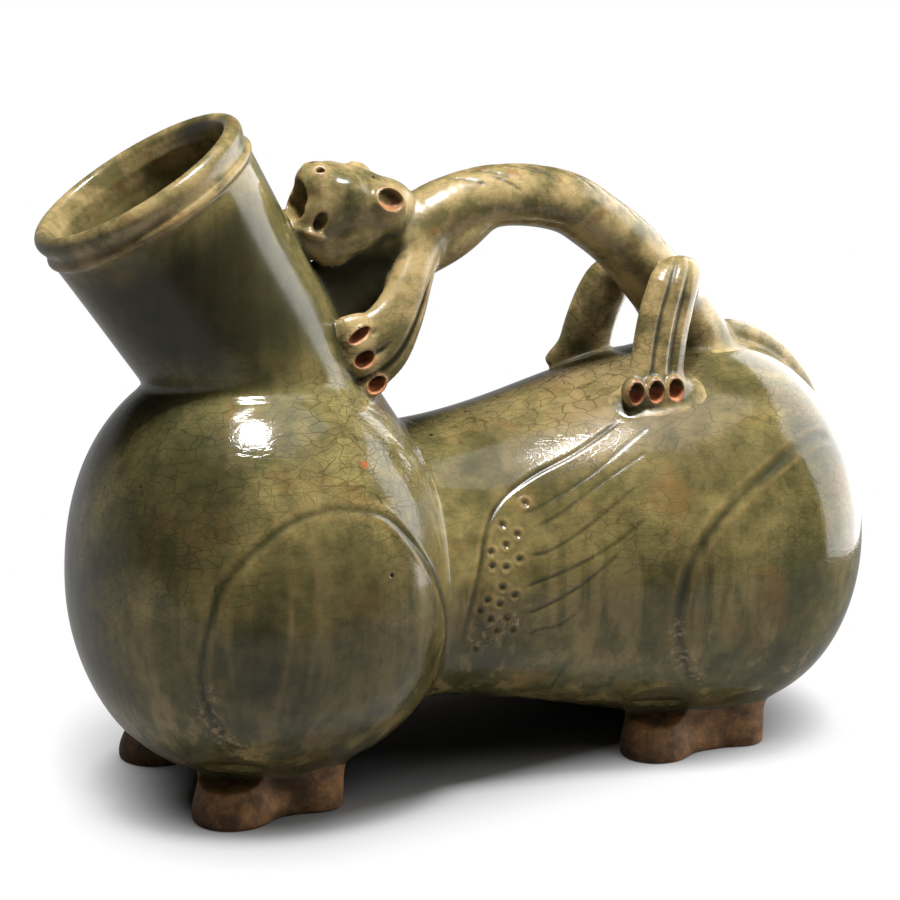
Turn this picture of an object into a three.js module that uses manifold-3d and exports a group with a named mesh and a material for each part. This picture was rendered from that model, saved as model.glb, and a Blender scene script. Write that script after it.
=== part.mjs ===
// Celadon animal-shaped vessel: two hollow lobes on four feet, a slanted neck, and a handle
// in the form of a crawling beast whose head rests against the neck.
// Millimetres, +Z up. The mouth looks towards -X and the beast's left side is towards -Y.
// Places are first worked out from the middle of the front lobe, with the floor at height 0.
import * as THREE from 'three';
import { mergeVertices } from 'three/addons/utils/BufferGeometryUtils.js';
import Module from 'manifold-3d';

const wasm = await Module();
wasm.setup();

// Body: two thrown lobes that meet at a waist. The front one is squarer than an ellipse in outline,
// and its crown stands higher over the axis than its sides stand out. The other heights and radii
// of the body follow from the front lobe's radius
const frontRadius = 60;
const frontHalfLength = 57;
const crownRise = 9;
const frontPower = 2.3;
const rearSwell = 0.5;
const rearWidestFromFront = 150;
const rearEndLength = 47.3;
const rearEndPower = 2.26;
const waistDepth = 17;
const bellyClearance = 4;
const bodyWall = 5.5;
const frontCrown = frontRadius + crownRise;
const rearRadius = frontRadius + rearSwell;
const waistRadius = frontRadius - waistDepth;
const axisHeight = frontRadius + bellyClearance;
const lobeTopHeight = axisHeight + rearRadius;

// Clearance kept between pieces that are luted together
const lutingGap = 0.3;

// Neck: a slanted tube with a rolled lip, a groove and a ridge. It leans a little to the right
const neckTilt = THREE.MathUtils.degToRad(30.7);
const neckLean = THREE.MathUtils.degToRad(2.3);
const neckRootX = 37.9;
const neckRise = 73.5;
const neckBaseRadius = 28.3;
const neckMouthRadius = 33.3;
const neckFlareDrop = 7;
const neckWall = 4.6;
const neckHoleRadius = 19;
const lipRadius = 34.2;
const lipHeight = 6;
const lipBevel = 2.6;
const grooveDepth = 1.1;
const grooveHeight = 1.5;
const ridgeHeight = 2.6;
const neckLength = frontCrown + neckRise;
const neckFlareStart = frontCrown - neckFlareDrop;

// Place of the neck's axis along the vessel, at a height
function neckAxisX(height) {
  return neckRootX - (height - axisHeight) * Math.tan(neckTilt);
}

// Handle: the arched trunk of the beast, a clay roll from the back of the neck to the rear lobe
const archRise = 49.9;
const archTopX = 82;
const archFrontReach = 60;
const archFrontDrop = 40;
const archRearReach = 71;
const archRearDrop = 60;
const trunkHalfWidth = 9.8;
const trunkHalfHeight = 9.6;
const chestHalfWidth = 7.5;
const chestHalfHeight = 18;
const archTopHeight = lobeTopHeight + archRise;

// Head of the beast, measured along its own forward and up directions
const headPitch = THREE.MathUtils.degToRad(20);
const headDrop = 1.4;
const headFromNeckAxis = 55.8;
const headHeight = archTopHeight - headDrop;
const headX = neckAxisX(headHeight) + headFromNeckAxis;
const headHalfLength = 17.6;
const headHalfWidth = 13.6;
const headTop = 11.8;
const headBottom = 19;
const mouthHalfWidth = 7.6;
const mouthHalfHeight = 5.9;
const mouthDepth = 8;
const canineGapHalfLength = 1.9;
const canineGapHalfHeight = 3.7;
const canineGapDepth = 5.5;
const nostrilRadius = 1.3;
const eyeRadius = 3.6;
const earRadius = 4.7;
const earWall = 1.3;
const earDepth = 7;
const earTurn = THREE.MathUtils.degToRad(20);

// Forelegs of the beast, straps that end in a fanned paw on the side of the neck
const forelegShoulderReach = 31.5;
const forelegShoulderDrop = 12.4;
const forelegPawDrop = 41.4;
const forelegPawFromNeck = 1.4;
const forelegInset = 11.9;
const forelegHalfWidth = 7.2;
const forelegHalfThickness = 5;
const forelegPawHalfWidth = 13;
const foreToeRadius = 2.2;
const foreToeReach = 1.5;
const foreToeCount = 4;
const foreToeRiseShare = 0.75;
const forelegShoulderX = archTopX - forelegShoulderReach;
const forelegShoulderHeight = archTopHeight - forelegShoulderDrop;
const forelegPawHeight = archTopHeight - forelegPawDrop;
const forelegPawX = neckAxisX(forelegPawHeight) + neckBaseRadius + forelegPawFromNeck;
const forelegSpread = neckBaseRadius - forelegInset;

// Hind legs of the beast, grooved straps bent over the knee, beside the trunk
const hindHipX = 137;
const hindKneeRise = 25.3;
const hindPawX = 119.5;
const hindPawDrop = 10;
const hindPawSpread = 27;
const hindHalfWidth = 8.8;
const hindHalfThickness = 4.6;
const hindPawHalfWidth = 11.6;
const hindGrooveDepth = 1;
const hindToeRadius = 2.4;
const hindToeCount = 3;
const hindKneeHeight = lobeTopHeight + hindKneeRise;
const hindPawHeight = lobeTopHeight - hindPawDrop;

// Tail, a thin roll laid down the back of the rear lobe and pressed a little into it
const tailRadius = 3.7;
const tailTipRadius = 2.5;
const tailStartFromWidest = 9;
const tailSunkShare = 0.4;

// Feet of the vessel: a flat sole with a broad toe, a drawn-in waist and a heel
// The right front foot was set a little further out and forward than the left one. An inset is
// from the side of the lobe to the middle of the foot
const leftFrontInset = 31.8;
const rightFrontInset = 28;
const rightFrontForward = 3;
const leftRearInset = 30.5;
const rightRearInset = 27.5;
const footFlareHeight = 13;
const soleEdgeHeight = 2.6;
const frontToeX = -20.2;
const frontToeRadius = 12;
const frontHeelRadius = 8.4;
const frontFootLength = 27;
const rearToeX = 119.5;
const rearToeRadius = 11;
const rearHeelRadius = 8.5;
const rearFootLength = 30;
const footWaistHalfWidth = 5.8;

// Fineness of the surfaces
const bodySegments = 40;
const neckSegments = 36;
const limbSides = 14;

// Where the ends of a turned profile meet the axis, as a share of the end's length
const poleShare = 0.02;

// Places that follow from the sizes
const rearLength = rearWidestFromFront + rearEndLength;
const waistX = frontHalfLength * (1 - (waistRadius / frontRadius) ** frontPower) ** (1 / frontPower);

// Materials
function celadonGlaze() {
  return new THREE.MeshStandardMaterial({ color: 0x7c7048, roughness: 0.15, metalness: 0 });
}

function bareClay() {
  return new THREE.MeshStandardMaterial({ color: 0x4a3a27, roughness: 0.8, metalness: 0 });
}

// Turns a closed geometry into a solid: one vertex for each place, no empty triangles, faces outward
function toSolid(geometry) {
  const bare = geometry.index ? geometry.toNonIndexed() : geometry.clone();
  bare.deleteAttribute('normal');
  bare.deleteAttribute('uv');
  const merged = mergeVertices(bare);
  const places = merged.getAttribute('position').array;
  const corners = merged.index.array;
  const kept = [];
  let volume = 0;
  const [a, b, c] = [new THREE.Vector3(), new THREE.Vector3(), new THREE.Vector3()];
  for (let i = 0; i < corners.length; i += 3) {
    const [p, q, r] = [corners[i], corners[i + 1], corners[i + 2]];
    if (p === q || q === r || r === p) continue;
    kept.push(p, q, r);
    a.fromArray(places, p * 3);
    b.fromArray(places, q * 3);
    c.fromArray(places, r * 3);
    volume += a.dot(b.cross(c));
  }
  if (volume < 0) kept.reverse();
  return new wasm.Manifold(new wasm.Mesh({
    numProp: 3,
    vertProperties: new Float32Array(places),
    triVerts: new Uint32Array(kept),
  }));
}

function toGeometry(solid) {
  const result = solid.getMesh();
  const geometry = new THREE.BufferGeometry();
  geometry.setAttribute('position', new THREE.BufferAttribute(result.vertProperties, 3));
  geometry.setIndex(new THREE.BufferAttribute(result.triVerts, 1));
  geometry.computeVertexNormals();
  return geometry;
}

function placed(geometry, matrix) {
  return geometry.clone().applyMatrix4(matrix);
}

// Closed skin through rings of equally many points, with a fan over each end
function skin(rings) {
  const sides = rings[0].length;
  const places = [];
  for (const ring of rings) {
    for (const point of ring) places.push(point.x, point.y, point.z);
  }
  for (const ring of [rings[0], rings[rings.length - 1]]) {
    const middle = new THREE.Vector3();
    for (const point of ring) middle.addScaledVector(point, 1 / sides);
    places.push(middle.x, middle.y, middle.z);
  }
  const startFan = rings.length * sides;
  const endFan = startFan + 1;
  const lastRing = (rings.length - 1) * sides;
  const corners = [];
  for (let side = 0; side < sides; side++) {
    const next = (side + 1) % sides;
    for (let ring = 0; ring < rings.length - 1; ring++) {
      const low = ring * sides;
      const high = low + sides;
      corners.push(low + side, low + next, high + next, low + side, high + next, high + side);
    }
    corners.push(startFan, next, side, endFan, lastRing + side, lastRing + next);
  }
  const geometry = new THREE.BufferGeometry();
  geometry.setAttribute('position', new THREE.Float32BufferAttribute(places, 3));
  geometry.setIndex(corners);
  return geometry;
}

// Turns from the tip of a rounded end to its last ring
const capTurns = [10, 36, 64].map((degrees) => THREE.MathUtils.degToRad(degrees));

// A rolled limb through stations that give its middle, its sideways direction, half its width
// and half its thickness. Both ends are rounded. shape changes the thickness round the section.
function limb(stations, steps, sides, grow = 0, shape = () => 0) {
  const middles = new THREE.CatmullRomCurve3(stations.map((s) => s.middle));
  const acrosses = new THREE.CatmullRomCurve3(stations.map((s) => s.across));
  const sizes = new THREE.CatmullRomCurve3(
    stations.map((s) => new THREE.Vector3(s.halfWidth, s.halfThickness, 0)));
  const rings = [];
  const addRing = (share, reach, shrink) => {
    const forward = middles.getTangent(share);
    const across = acrosses.getPoint(share);
    across.addScaledVector(forward, -across.dot(forward)).normalize();
    const out = new THREE.Vector3().crossVectors(forward, across);
    const size = sizes.getPoint(share);
    const middle = middles.getPoint(share).addScaledVector(forward, reach * (size.y + grow));
    const ring = [];
    for (let side = 0; side < sides; side++) {
      const angle = 2 * Math.PI * side / sides;
      const wide = Math.cos(angle) * (size.x + grow) * shrink;
      const thick = Math.sin(angle) * (size.y + grow + shape(angle, share)) * shrink;
      ring.push(middle.clone().addScaledVector(across, wide).addScaledVector(out, thick));
    }
    rings.push(ring);
  };
  for (const turn of capTurns) addRing(0, -Math.cos(turn), Math.sin(turn));
  for (let step = 0; step <= steps; step++) addRing(step / steps, 0, 1);
  for (const turn of capTurns.toReversed()) addRing(1, Math.cos(turn), Math.sin(turn));
  return toSolid(skin(rings));
}

// An ellipsoid with its own three half sizes, turned and placed by a matrix
function ellipsoid(halfSizes, matrix, around = 14, down = 8) {
  const ball = new THREE.SphereGeometry(1, around, down).scale(halfSizes.x, halfSizes.y, halfSizes.z);
  return toSolid(placed(ball, matrix));
}

function at(x, y, z) {
  return new THREE.Matrix4().makeTranslation(x, y, z);
}

// Radius of the body's outside at a place along its axis
function bodyRadius(x) {
  if (x <= waistX) {
    const share = Math.min(1, Math.abs(x) / frontHalfLength);
    return frontRadius * (1 - share ** frontPower) ** (1 / frontPower);
  }
  if (x < rearWidestFromFront) {
    const share = (x - waistX) / (rearWidestFromFront - waistX);
    return waistRadius + (rearRadius - waistRadius) * share * share * (3 - 2 * share);
  }
  const share = Math.min(1, (x - rearWidestFromFront) / rearEndLength);
  return rearRadius * Math.sqrt(1 - share ** rearEndPower);
}

const slopeProbeShare = 0.0002;

function bodySlope(x) {
  const probe = rearEndLength * slopeProbeShare;
  return (bodyRadius(x + probe) - bodyRadius(x - probe)) / (2 * probe);
}

// How much higher the upper half of the front lobe stands than its round profile
function crownScale(x) {
  const fade = 1 - THREE.MathUtils.clamp(x / waistX, 0, 1) ** 2;
  return 1 + (frontCrown / frontRadius - 1) * fade;
}

// Profile points from one place on the body's axis to another, as radius and place along the axis,
// set inward by a wall or outward by a negative one
function bodyOutline(from, to, steps, inset) {
  const points = [];
  for (let step = 0; step <= steps; step++) {
    const share = (1 - Math.cos(Math.PI * step / steps)) / 2;
    const x = from + (to - from) * share;
    const slope = bodySlope(x);
    const steep = Math.hypot(1, slope);
    const radius = bodyRadius(x) - inset / steep;
    points.push(new THREE.Vector2(radius, x + inset * slope / steep));
  }
  return points;
}

function turnedAboutX(profile) {
  const turned = new THREE.LatheGeometry(profile, bodySegments).rotateZ(-Math.PI / 2);
  const places = turned.getAttribute('position');
  for (let i = 0; i < places.count; i++) {
    const high = places.getZ(i);
    if (high > 0) places.setZ(i, high * crownScale(places.getX(i)));
  }
  return toSolid(turned.translate(0, 0, axisHeight));
}

function onAxis(x) {
  return new THREE.Vector2(0, x);
}

// The whole body as one solid, grown by the luting gap, for trimming what sits on it
function bodyCutter() {
  const pole = frontHalfLength * poleShare;
  const front = bodyOutline(-frontHalfLength + pole, waistX, 16, -lutingGap);
  const rear = bodyOutline(waistX, rearLength - pole, 18, -lutingGap);
  const profile = [
    onAxis(-frontHalfLength - lutingGap),
    ...front,
    ...rear,
    onAxis(rearLength + lutingGap),
  ];
  return turnedAboutX(profile);
}

// Neck axis, and a matrix that takes +Y along it from the body's axis
const neckDirection = new THREE.Vector3(
  -Math.sin(neckTilt), Math.tan(neckLean), Math.cos(neckTilt)).normalize();

function neckMatrix() {
  const turn = new THREE.Quaternion().setFromUnitVectors(new THREE.Vector3(0, 1, 0), neckDirection);
  return at(neckRootX, 0, axisHeight).multiply(new THREE.Matrix4().makeRotationFromQuaternion(turn));
}

function neckRadius(along) {
  const share = (along - neckFlareStart) / (neckLength - lipHeight - neckFlareStart);
  return neckBaseRadius + (neckMouthRadius - neckBaseRadius) * Math.max(0, share);
}

function turnedAboutNeck(profile) {
  return toSolid(placed(new THREE.LatheGeometry(profile, neckSegments), neckMatrix()));
}

// Outer profile of the neck from its root to just under the lip, then the ridge, groove and lip
function neckOutside(grow) {
  const lipFoot = neckLength - lipHeight;
  const ridgeTop = lipFoot - grooveHeight;
  const ridgeFoot = ridgeTop - ridgeHeight;
  const under = neckRadius(ridgeFoot);
  const points = [
    [neckBaseRadius, 0],
    [neckBaseRadius, neckFlareStart],
    [under, ridgeFoot],
    [under + grooveDepth / 2, ridgeFoot + ridgeHeight / 3],
    [under + grooveDepth / 2, ridgeTop - ridgeHeight / 3],
    [under - grooveDepth / 2, ridgeTop],
    [under - grooveDepth / 2, lipFoot],
  ];
  const lipMiddle = neckLength - lipHeight / 2;
  for (const degrees of [-80, -45, 0, 45, 80]) {
    const angle = THREE.MathUtils.degToRad(degrees);
    points.push([
      lipRadius - lipBevel + lipBevel * Math.cos(angle),
      lipMiddle + lipHeight / 2 * Math.sin(angle),
    ]);
  }
  return points.map(([radius, along]) => new THREE.Vector2(radius + grow, along));
}

function neckInside() {
  const mouth = lipRadius - 2 * lipBevel;
  const throatDrop = 2 * lipHeight;
  const throat = neckRadius(neckLength - throatDrop) - neckWall;
  return [
    new THREE.Vector2(mouth, neckLength - lipHeight / 4),
    new THREE.Vector2(mouth - lipBevel / 2, neckLength - lipHeight),
    new THREE.Vector2(throat, neckLength - throatDrop),
    new THREE.Vector2(neckBaseRadius - neckWall, neckFlareStart),
    new THREE.Vector2(neckBaseRadius - neckWall, 0),
  ];
}

function neckCutter() {
  const outside = neckOutside(lutingGap);
  const top = outside[outside.length - 1].y;
  return turnedAboutNeck([new THREE.Vector2(0, 0), ...outside, new THREE.Vector2(0, top)]);
}

function neckTube(body) {
  const outside = neckOutside(0);
  const profile = [...outside, ...neckInside(), outside[0].clone()];
  return turnedAboutNeck(profile).subtract(body);
}

function neckHole() {
  const hole = new THREE.CylinderGeometry(neckHoleRadius, neckHoleRadius, neckLength, 32);
  hole.translate(0, neckLength / 2, 0);
  return toSolid(placed(hole, neckMatrix()));
}

// Front lobe: a hollow globe, open at the waist, with the neck's hole
function frontGlobe() {
  const pole = frontHalfLength * poleShare;
  const mouthX = waistX - lutingGap / 2;
  const outside = bodyOutline(-frontHalfLength + pole, mouthX, 16, 0);
  const inside = bodyOutline(-frontHalfLength + pole, mouthX, 10, bodyWall);
  inside[inside.length - 1] = new THREE.Vector2(waistRadius - bodyWall, mouthX);
  const profile = [
    onAxis(-frontHalfLength),
    ...outside,
    ...inside.reverse(),
    onAxis(-frontHalfLength + bodyWall),
  ];
  return turnedAboutX(profile).subtract(neckHole());
}

// Rear lobe: a hollow ovoid, closed behind and open at the waist
function rearBody() {
  const pole = rearEndLength * poleShare;
  const mouthX = waistX + lutingGap / 2;
  const outside = bodyOutline(mouthX, rearLength - pole, 18, 0);
  const inside = bodyOutline(mouthX, rearLength - pole, 11, bodyWall);
  inside[0] = new THREE.Vector2(waistRadius - bodyWall, mouthX);
  const profile = [
    ...outside,
    onAxis(rearLength),
    onAxis(rearLength - bodyWall),
    ...inside.reverse(),
    outside[0].clone(),
  ];
  return turnedAboutX(profile);
}

// Trunk, from the chest on the neck over the top to the rump: shares of the arch's reach and drop,
// and of half the roll's width and height
const chestShares = [[1, 0.98, 1, 1.2], [0.84, 0.72, 1, 1]];
const shoulderShares = [[0.62, 0.38, 1.08, 1.24], [0.42, 0.13, 1.1, 1.02], [0.22, 0.02, 1, 0.96]];
const rumpShares = [
  [0, 0, 1, 0.98], [0.17, 0.025, 1, 0.98], [0.3, 0.075, 1, 0.98], [0.42, 0.17, 1, 0.98],
  [0.56, 0.3, 1, 1.02], [0.7, 0.48, 1.04, 1.06], [0.83, 0.67, 1.1, 1.08], [0.94, 0.86, 1.15, 1.1],
  [1.01, 1.05, 1.18, 1.1]];

function trunkStation(reach, drop, halfWidth, halfHeight, shares) {
  const [reachShare, dropShare, widthShare, heightShare] = shares;
  return {
    middle: new THREE.Vector3(archTopX + reach * reachShare, 0, archTopHeight - drop * dropShare),
    across: new THREE.Vector3(0, -1, 0),
    halfWidth: halfWidth * widthShare,
    halfThickness: halfHeight * heightShare,
  };
}

function trunkSolid(grow) {
  const chest = chestShares.map(
    (shares) => trunkStation(-archFrontReach, archFrontDrop, chestHalfWidth, chestHalfHeight, shares));
  const shoulder = shoulderShares.map(
    (shares) => trunkStation(-archFrontReach, archFrontDrop, trunkHalfWidth, trunkHalfHeight, shares));
  const rump = rumpShares.map(
    (shares) => trunkStation(archRearReach, archRearDrop, trunkHalfWidth, trunkHalfHeight, shares));
  return limb([...chest, ...shoulder, ...rump], 26, limbSides, grow);
}

// Head frame: forward is towards the neck and up, left is towards -Y
function headMatrix() {
  const forward = new THREE.Vector3(-Math.cos(headPitch), 0, Math.sin(headPitch));
  const left = new THREE.Vector3(0, -1, 0);
  const up = new THREE.Vector3(Math.sin(headPitch), 0, Math.cos(headPitch));
  return at(headX, 0, headHeight).multiply(new THREE.Matrix4().makeBasis(forward, left, up));
}

// Head sections from the nape to the lower lip: place along the head, half width, top and bottom,
// each as a share of the head's own sizes
const headSectionShares = [
  [-0.98, 0.3, 0.18, -0.1],
  [-0.92, 0.52, 0.4, -0.28],
  [-0.74, 0.78, 0.7, -0.42],
  [-0.4, 0.96, 0.93, -0.53],
  [0, 1, 1, -0.74],
  [0.34, 0.94, 1, -0.95],
  [0.62, 0.84, 0.98, -0.92],
  [0.8, 0.74, 0.86, -0.82],
  [0.93, 0.58, 0.52, -0.7],
  [1, 0.36, 0.1, -0.54],
];

function headShell(grow) {
  const sides = 18;
  const rings = headSectionShares.map(([along, wide, top, bottom]) => {
    const high = headTop * top + grow;
    const low = headBottom * bottom - grow;
    const ring = [];
    for (let side = 0; side < sides; side++) {
      const angle = 2 * Math.PI * side / sides;
      ring.push(new THREE.Vector3(
        headHalfLength * along + Math.sign(along) * grow,
        (headHalfWidth * wide + grow) * Math.cos(angle),
        (high + low) / 2 + (high - low) / 2 * Math.sin(angle),
      ).applyMatrix4(headMatrix()));
    }
    return ring;
  });
  return toSolid(skin(rings));
}

function inHead(along, side, high) {
  return headMatrix().multiply(at(along, side, high));
}

// Places of the head's features along, across and up, as shares of its half length, half width and
// top, or bottom where the last share is negative
const eyeShares = [0.4, 0.68, 0.6];
const nostrilShares = [0.74, 0.2, 0.72];
const mouthShares = [0.93, 0, -0.03];
const canineGapShares = [0.64, 0.76, -0.24];
const earShares = [-0.36, 0.92, 0.62];

function onHead([along, across, high], side) {
  return inHead(
    headHalfLength * along, side * headHalfWidth * across, high * (high > 0 ? headTop : headBottom));
}

function beastHead(neck) {
  let head = headShell(0);
  for (const side of [-1, 1]) {
    const eye = new THREE.Vector3(eyeRadius, eyeRadius, eyeRadius);
    head = head.add(ellipsoid(eye, onHead(eyeShares, side)));
  }
  const mouth = new THREE.Vector3(mouthDepth, mouthHalfWidth, mouthHalfHeight);
  head = head.subtract(ellipsoid(mouth, onHead(mouthShares, 1)));
  for (const side of [-1, 1]) {
    const gap = new THREE.Vector3(canineGapHalfLength, canineGapDepth, canineGapHalfHeight);
    head = head.subtract(ellipsoid(gap, onHead(canineGapShares, side), 12, 8));
    const nostril = new THREE.Vector3(2 * nostrilRadius, nostrilRadius, 2 * nostrilRadius);
    head = head.subtract(ellipsoid(nostril, onHead(nostrilShares, side), 10, 6));
  }
  return head.subtract(neck);
}

// Ear: a pinched cup that opens sideways. Its root and the floor of its hollow are narrower, as
// shares of the radius there
const earRootShare = 0.7;
const earFloorShare = 0.6;

function beastEar(side, head) {
  const inner = earRadius - earWall;
  const half = earDepth / 2;
  const profile = [
    [0, -half], [earRadius * earRootShare, -half], [earRadius, 0], [earRadius, half],
    [inner, half], [inner, 0], [inner * earFloorShare, -half / 2], [0, -half / 2]];
  const cup = new THREE.LatheGeometry(
    profile.map(([radius, along]) => new THREE.Vector2(radius, along)), 18);
  const tip = new THREE.Matrix4().makeRotationX(side > 0 ? earTurn : Math.PI - earTurn);
  return toSolid(placed(cup, onHead(earShares, side).multiply(tip))).subtract(head);
}

// Foreleg from the shoulder to the paw: shares of the run, of the drop and of the spread, then of
// half the strap's width and thickness. side is 1 for the left leg and -1 for the right one
const forelegShares = [
  [0, 0, 0.42, 0.8, 0.9], [0.25, 0.35, 0.72, 0.96, 1], [0.5, 0.68, 0.91, 1.2, 1], [0.74, 0.89, 1, 1.5, 0.94]];
const toeLineTurn = THREE.MathUtils.degToRad(58);

function foreleg(side, cutters) {
  const across = new THREE.Vector3(Math.cos(toeLineTurn), 0, -Math.sin(toeLineTurn));
  const stations = forelegShares.map(([run, drop, spread, wide, thick]) => ({
    middle: new THREE.Vector3(
      THREE.MathUtils.lerp(forelegShoulderX, forelegPawX, run),
      -side * forelegSpread * spread,
      THREE.MathUtils.lerp(forelegShoulderHeight, forelegPawHeight, drop)),
    across,
    halfWidth: forelegHalfWidth * wide,
    halfThickness: forelegHalfThickness * thick,
  }));
  const paw = new THREE.Vector3(forelegPawX, -side * forelegSpread, forelegPawHeight);
  stations.push({
    middle: paw,
    across,
    halfWidth: forelegPawHalfWidth,
    halfThickness: forelegHalfThickness,
  });
  let leg = limb(stations, 10, limbSides);
  const spacing = 2 * (forelegPawHalfWidth - foreToeRadius) / (foreToeCount - 1);
  for (let toe = 0; toe < foreToeCount; toe++) {
    const along = (toe - (foreToeCount - 1) / 2) * spacing;
    const place = paw.clone().addScaledVector(across, along);
    place.x -= foreToeReach;
    place.y -= side * forelegHalfThickness * foreToeRiseShare;
    const hollow = new THREE.Vector3(foreToeRadius, foreToeRadius, foreToeRadius);
    leg = leg.subtract(ellipsoid(hollow, at(...place), 8, 6));
  }
  return trimmed(leg, cutters);
}

// Hind leg from the hip over the knee to the paw: shares of the way, of the spread and of the height
// over the paw, then of half the strap's width and thickness
const hindShares = [
  [0, 0.2, 0.72, 0.86, 0.9], [0.1, 0.42, 0.93, 0.92, 1], [0.32, 0.62, 1, 0.96, 1],
  [0.54, 0.75, 0.91, 1, 1], [0.7, 0.81, 0.7, 1, 1], [0.83, 0.86, 0.45, 0.98, 1],
  [0.93, 0.91, 0.2, 1.02, 1]];
const hindGroovePlaceShare = 0.34;
const hindGrooveWidthShare = 0.13;
const hindGrooveFadeShare = 0.2;
const hipTiltShare = 0.2;
const hindToeSpacingShare = 0.57;

// Two grooves down the outer face of the strap, fading out before the paw
function hindGrooves(side) {
  return (angle, share) => {
    const groove = (place) => Math.exp(-(((Math.cos(angle) - place) / hindGrooveWidthShare) ** 2));
    const face = Math.max(0, side * Math.sin(angle));
    const fade = Math.min(1, (1 - share) / hindGrooveFadeShare);
    const pair = groove(-hindGroovePlaceShare) + groove(hindGroovePlaceShare);
    return -hindGrooveDepth * face * fade * pair;
  };
}

function hindLeg(side, cutters) {
  const rise = hindKneeHeight - hindPawHeight;
  const stations = hindShares.map(([run, spread, high, width, thick]) => ({
    middle: new THREE.Vector3(
      THREE.MathUtils.lerp(hindHipX, hindPawX, run),
      -side * hindPawSpread * spread,
      hindPawHeight + rise * high),
    across: new THREE.Vector3(1, 0, -hipTiltShare * (1 - run)),
    halfWidth: hindHalfWidth * width,
    halfThickness: hindHalfThickness * thick,
  }));
  stations.push({
    middle: new THREE.Vector3(hindPawX, -side * hindPawSpread, hindPawHeight),
    across: new THREE.Vector3(1, 0, 0),
    halfWidth: hindPawHalfWidth,
    halfThickness: hindHalfThickness,
  });
  let leg = limb(stations, 14, 20, 0, hindGrooves(side));
  const spacing = hindPawHalfWidth * hindToeSpacingShare;
  for (let toe = 0; toe < hindToeCount; toe++) {
    const along = (toe - (hindToeCount - 1) / 2) * spacing;
    const place = at(
      hindPawX + along, -side * (hindPawSpread + hindHalfThickness), hindPawHeight + hindToeRadius);
    const hollow = new THREE.Vector3(hindToeRadius, hindToeRadius, hindToeRadius);
    leg = leg.subtract(ellipsoid(hollow, place, 8, 6));
  }
  return trimmed(leg, cutters);
}

// Tail: follows the back of the rear lobe
const tailSweep = THREE.MathUtils.degToRad(78);

function tail(cutters) {
  const stations = [];
  const count = 7;
  for (let index = 0; index < count; index++) {
    const share = index / (count - 1);
    const along = Math.sin(tailSweep * share);
    const x = rearWidestFromFront + THREE.MathUtils.lerp(tailStartFromWidest, rearEndLength, along);
    const radius = THREE.MathUtils.lerp(tailRadius, tailTipRadius, share);
    const slope = bodySlope(x);
    const steep = Math.hypot(1, slope);
    const lift = radius * (1 - tailSunkShare);
    stations.push({
      middle: new THREE.Vector3(x - lift * slope / steep, 0, axisHeight + bodyRadius(x) + lift / steep),
      across: new THREE.Vector3(0, -1, 0),
      halfWidth: radius,
      halfThickness: radius,
    });
  }
  return trimmed(limb(stations, 13, 10), cutters);
}

// Foot outline at one height: toe arc, drawn-in waist and heel arc, shrunk by a share. The arcs end
// where the waist begins, as shares of a half turn
const toeArcShares = [0.3, 1.7];
const heelArcShares = [-0.7, 0.7];
const arcSteps = 8;

function footRing(toeRadius, heelRadius, length, shrink, height) {
  const ring = [];
  const arc = (middle, radius, [from, to]) => {
    for (let step = 0; step <= arcSteps; step++) {
      const angle = THREE.MathUtils.lerp(from, to, step / arcSteps) * Math.PI;
      const reach = radius * shrink;
      ring.push(new THREE.Vector3(middle + reach * Math.cos(angle), reach * Math.sin(angle), height));
    }
  };
  arc(0, toeRadius, toeArcShares);
  ring.push(new THREE.Vector3(length / 2, -footWaistHalfWidth * shrink, height));
  arc(length, heelRadius, heelArcShares);
  ring.push(new THREE.Vector3(length / 2, footWaistHalfWidth * shrink, height));
  return ring;
}

// Shares of the flare's height, and of the sole's size there. The narrower rings move inward
const footFlareShares = [[0.55, 0.86], [1, 0.78]];
const footInwardShare = 0.5;

// How far below the body's axis a foot ends inside the lobe, as a share of the lobe's radius
const footTopShare = 2 / 3;

function foot(toeX, toeRadius, heelRadius, length, lobeRadius, place, body) {
  const flare = footFlareShares.map(([high, shrink]) => [footFlareHeight * high, shrink]);
  const topShrink = flare[flare.length - 1][1];
  const topHeight = axisHeight - lobeRadius * footTopShare;
  const levels = [[0, 1], [soleEdgeHeight, 1], ...flare, [topHeight, topShrink]];
  const rings = levels.map(([height, shrink]) => {
    const inward = (1 - shrink) * toeRadius * footInwardShare * Math.sign(place);
    return footRing(toeRadius, heelRadius, length, shrink, height).map(
      (point) => new THREE.Vector3(toeX + point.x, place - inward + point.y, point.z));
  });
  return toSolid(skin(rings)).subtract(body);
}

function frontFoot(side, body) {
  const spread = frontRadius - (side > 0 ? leftFrontInset : rightFrontInset);
  const toeX = side > 0 ? frontToeX : frontToeX - rightFrontForward;
  return foot(
    toeX, frontToeRadius, frontHeelRadius, frontFootLength, frontRadius, -side * spread, body);
}

function rearFoot(side, body) {
  const spread = rearRadius - (side > 0 ? leftRearInset : rightRearInset);
  return foot(
    rearToeX, rearToeRadius, rearHeelRadius, rearFootLength, rearRadius, -side * spread, body);
}

function trimmed(solid, cutters) {
  return cutters.reduce((rest, cutter) => rest.subtract(cutter), solid);
}

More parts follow.
